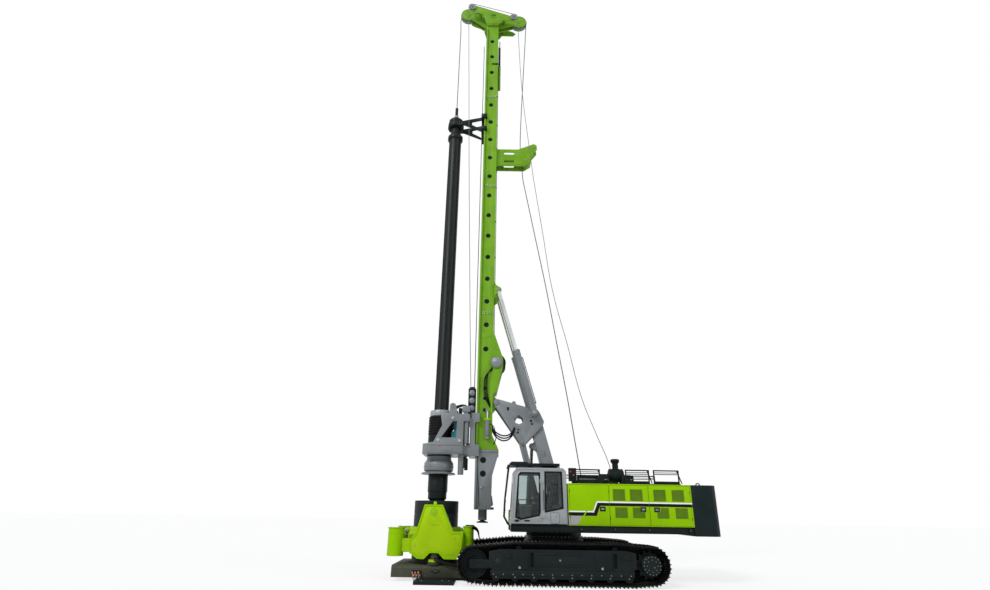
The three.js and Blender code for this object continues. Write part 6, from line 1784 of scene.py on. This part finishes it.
# %% Kelly bar
kelly_parts = [
    turned([(0, 2200), (232, 2200), (240, 2206), (298, 2260), (300, 2270), (300, 2450), (320, 2466),
        (320, 3290), (312, 3302), (252, 3360), (250, 3366), (250, 16350)], (KELLY_X, 0, 0), "z",
        64),
    turned([(250, 16350), (306, 16384), (310, 16392), (310, 16540), (300, 16552), (214, 16598),
        (210, 16606), (210, 17201), (292, 17201), (300, 17209), (300, 17366), (292, 17380),
        (120, 17384), (66, 17420), (62, 17430), (62, 18080), (54, 18092), (0, 18096)],
        (KELLY_X, 0, 0), "z", 64),
    (bolts((KELLY_X, 0, 17376), 240, 12, 16, 16, "z"), 1),
    (turned(hollow([(62, 17560), (92, 17560), (96, 17566), (96, 17650), (92, 17656), (62, 17656)]),
        (KELLY_X, 0, 0), "z", 36), 1)]
for k in range(6):
    a = 2 * math.pi * (k + 0.5) / 6
    c, s = math.cos(a), math.sin(a)
    for z0, z1 in [(3400, 7600), (7680, 12000), (12080, 16300)]:
        kelly_parts.append(rod((KELLY_X + 250 * c, 250 * s, z0), (KELLY_X + 250 * c, 250 * s, z1),
            17, 8))
piece = show(gather(*kelly_parts), "kelly_keyed_bar", [kelly_steel, fitting_steel], "kelly",
    50)
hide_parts("kelly_bar")
guide_parts = [(bolts((KELLY_X, 0, 17198), 275, 10, 14, 14, "z", 0.2), 1)]
for side in [-1, 1]:
    guide_parts += [
        (bolts((-3540, side * 301, 17090), 60, 4, 12, side * 10, "y", 0.8), 1),
        (bolts((-2600, side * 512, 16720), 34, 4, 9, side * 8, "y", 0.8), 1),
        (bolts((-2600, side * 512, 17330), 34, 4, 9, side * 8, "y", 0.8), 1)]
eased_copy("kelly_guide", None, 7, guide_parts, [black_paint, fitting_steel])
print("kelly bar and guide")

# %% [markdown]
# ## Ropes and hoses
# The kelly rope comes off the main winch, runs through the guide at the rear of the mast and over
# both head sheaves to the swivel. The auxiliary rope runs on the near side. They are taut, so
# each is a few points on straight lines, and a length that hangs between two bodies is fixed in
# place and tied to no body. Hoses sag in smooth curves; most sets ride on the body they are
# clipped to, and the hoses across the linkage are fixed in place.

# %% Wire ropes
hose("kelly_rope", [[(KELLY_X, 0, 22600), (KELLY_X, 0, 23400), (-3630, 0, 23790), (-3400, 0, 23882),
    (-3180, 0, 23808), (-2300, 0, 23640), (-1180, 0, 23472), (-900, 0, 23410), (-740, 0, 23200),
    (-735, 0, 22900), (-1010, 0, 16600), (-1010, 0, 16000), (-910, 0, 14494)]], 17, rope_finish,
    "mast", 2)
fall = hose("kelly_rope_front_fall", [[(KELLY_X, 0, z) for z in range(17900, 22601, 470)]], 17,
    rope_finish, None, 2)
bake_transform(fall)
fall = hose("kelly_rope_rear_fall", [[(-910, 0, 14494), (-480, 0, 12066), (-50, 0, 9639),
    (275, 0, 7580), (600, 0, 5522), (800, 0, 4081), (1000, 0, 2640)]], 17, rope_finish, None,
    2)
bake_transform(fall)
fall = hose("aux_rope_front_fall", [[(-2760, -250, 5900), (-2850, -270, 8000), (-2965, -335, 11092),
    (-3080, -400, 14184), (-3238, -450, 18872), (-3396, -500, 23560)]], 11, rope_finish, None,
    2)
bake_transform(fall)
hose("aux_rope", [[(-3396, -500, 23560), (-3330, -500, 23700), (-3230, -500, 23757),
    (-3120, -500, 23740), (-1310, -500, 23158), (-1200, -500, 23120), (-1140, -500, 22980),
    (-1128, -500, 22700), (-968, -480, 18977), (-707, -460, 16131), (-507, -440, 14232)]], 11,
    rope_finish, "mast", 2)
fall = hose("aux_rope_rear_fall", [[(-507, -440, 14232), (-190, -420, 11854), (128, -400, 9477),
    (595, -360, 7465), (1061, -320, 5452), (1476, -290, 4331), (1857, -262, 3323),
    (1950, -250, 2760)]], 11, rope_finish, None, 2)
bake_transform(fall)
fall = hose("crowd_rope", [[(-2640, y, 4900 + 1670 * k) for k in range(11)] for y in [60, -60]], 12,
    rope_finish, None, 2)
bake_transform(fall)
print("kelly rope, auxiliary rope and crowd rope")

# %% Hoses on the mast and the drive
runs = []
for k in range(4):
    y = -140 + 24 * k
    runs.append([(MAST_REAR + 18, y, 6250), (MAST_REAR + 20, y, 9000), (MAST_REAR + 18, y, 14000),
        (MAST_REAR + 18, y, 21500)])
hose("mast_hose_run", runs, 10, rubber, "mast", 2)
runs = []
for k in range(4):
    d = 34 * k
    runs.append([(-2030, -380, 6560 - d), (-2160 - d, -440 - d * 0.3, 6300 - d),
        (-2200 - d, -450 - d * 0.3, 5900), (-2160 - d, -430, 5500), (-2080, -372, 5250 - d)])
hose("crowd_motor_hoses", runs, 15, rubber, "mast", 2)
runs = []
for k in range(6):
    d = 36 * k
    runs.append([(-3290, -410 + 20 * k, 4600), (-3360 - d * 0.4, -470 + 24 * k, 4780 + d),
        (-3120, -520 + 26 * k, 5120 + d * 0.5), (-2820, -540 + 26 * k, 5080 + d * 0.4),
        (-2700, -520 + 26 * k, 4800)])
hose("drive_hoses", runs, 17, rubber, "drive", 2)
runs = []
for k in range(3):
    d = 40 * k
    runs += [
        [(-3290, 410 - 20 * k, 4600), (-3380 - d * 0.4, 520 - 20 * k, 4500),
            (-3480 - d, 600 - 20 * k, 4200), (-3420, 620 - 20 * k, 3960)],
        [(-3290, -410 + 20 * k, 4560), (-3400 - d * 0.3, -560 + 20 * k, 4420),
            (-3500 - d * 0.4, -600 + 20 * k, 4180), (-3430, -610 + 20 * k, 3950)]]
hose("gearbox_hoses", runs, 13, rubber, "drive", 2)
runs = []
for k in range(3):
    d = 60 * k
    runs.append([(-2010, -330, 4560 - d * 0.5), (-1950, -370, 4420 - d),
        (-1780, -390, 4280 - 1.3 * d), (-1560, -390, 4230 - d * 1.3), (-1360, -370, 4330 - d),
        (-1250, -325, 4520 - d * 0.4)])
for k, run in enumerate(runs):
    sagging = hose(f"link_hose_{k + 1}", [run], 24, rubber, None, 2)
    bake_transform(sagging)
print("hoses on the mast, the drive and across the linkage")

# %% [markdown]
# Two more things hang on the mast: the pulley block of the crowd rope on the drive's carriage,
# and the small hydraulic cylinder on the side of the lower mast that locks it, held by a lime
# clamp.

# %% Pulley block and side cylinder
block_parts = [
    plate([(-2830, 4960), (-2570, 4960), (-2570, 5780), (-2630, 5860), (-2770, 5860),
        (-2830, 5780)], -330, -306, "y", 4),
    plate([(-2830, 4960), (-2570, 4960), (-2570, 5780), (-2630, 5860), (-2770, 5860),
        (-2830, 5780)], -210, -186, "y", 4)]
for z in [5130, 5390, 5650]:
    block_parts += [
        (turned([(0, -352), (60, -352), (78, -344), (96, -336), (96, -330), (0, -330)],
            (-2700, 0, z), "y", 28), 1),
        (turned([(0, -300), (104, -300), (86, -258), (104, -216), (0, -216)], (-2700, 0, z), "y",
            32), 2)]
show(gather(*block_parts), "pulley_block", [black_paint, cast_grey, dark_paint], "drive")
side_ram = [
    turned([(0, 4210), (70, 4210), (76, 4218), (76, 4640), (84, 4646), (84, 4700), (76, 4706),
        (40, 4706)], (-2170, -440, 0), "z", 32),
    (turned([(0, 4700), (34, 4700), (34, 5010), (0, 5010)], (-2170, -440, 0), "z", 28), 1),
    (block((-2270, -525, 4710), (-2070, -362, 4775), 8), 2),
    block((-2230, -470, 5000), (-2110, -362, 5090), 10),
    pin(-2170, 4160, -490, -362, 62, 24, 5)]
show(gather(*side_ram), "side_cylinder", [arm_grey, chrome, lime], "mast")
hose("side_cylinder_hose", [[(-2096, -440, 4600), (-1990, -450, 4560), (-1900, -440, 4350),
    (-1880, -400, 4100), (-1960, -366, 3950)]], 14, rubber, "mast", 2)
cable = [[(-2450, -372, 3740), (-2470, -380, 3300), (-2420, -378, 2700), (-2380, -372, 2050)]]
hose("lower_mast_cable", cable, 8, rubber, "mast", 2)
print("pulley block, side cylinder and cable")

# %% [markdown]
# ## Finish
# The boxes of the bare frame and of the dressed machine are printed side by side, because the
# looks must not change the size.

# %% Sizes and finish
DRESSED_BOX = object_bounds()
for label, (low, high) in [("frame", FRAME_BOX), ("dressed", DRESSED_BOX)]:
    print(label, [round(high[k] - low[k], 3) for k in range(3)])
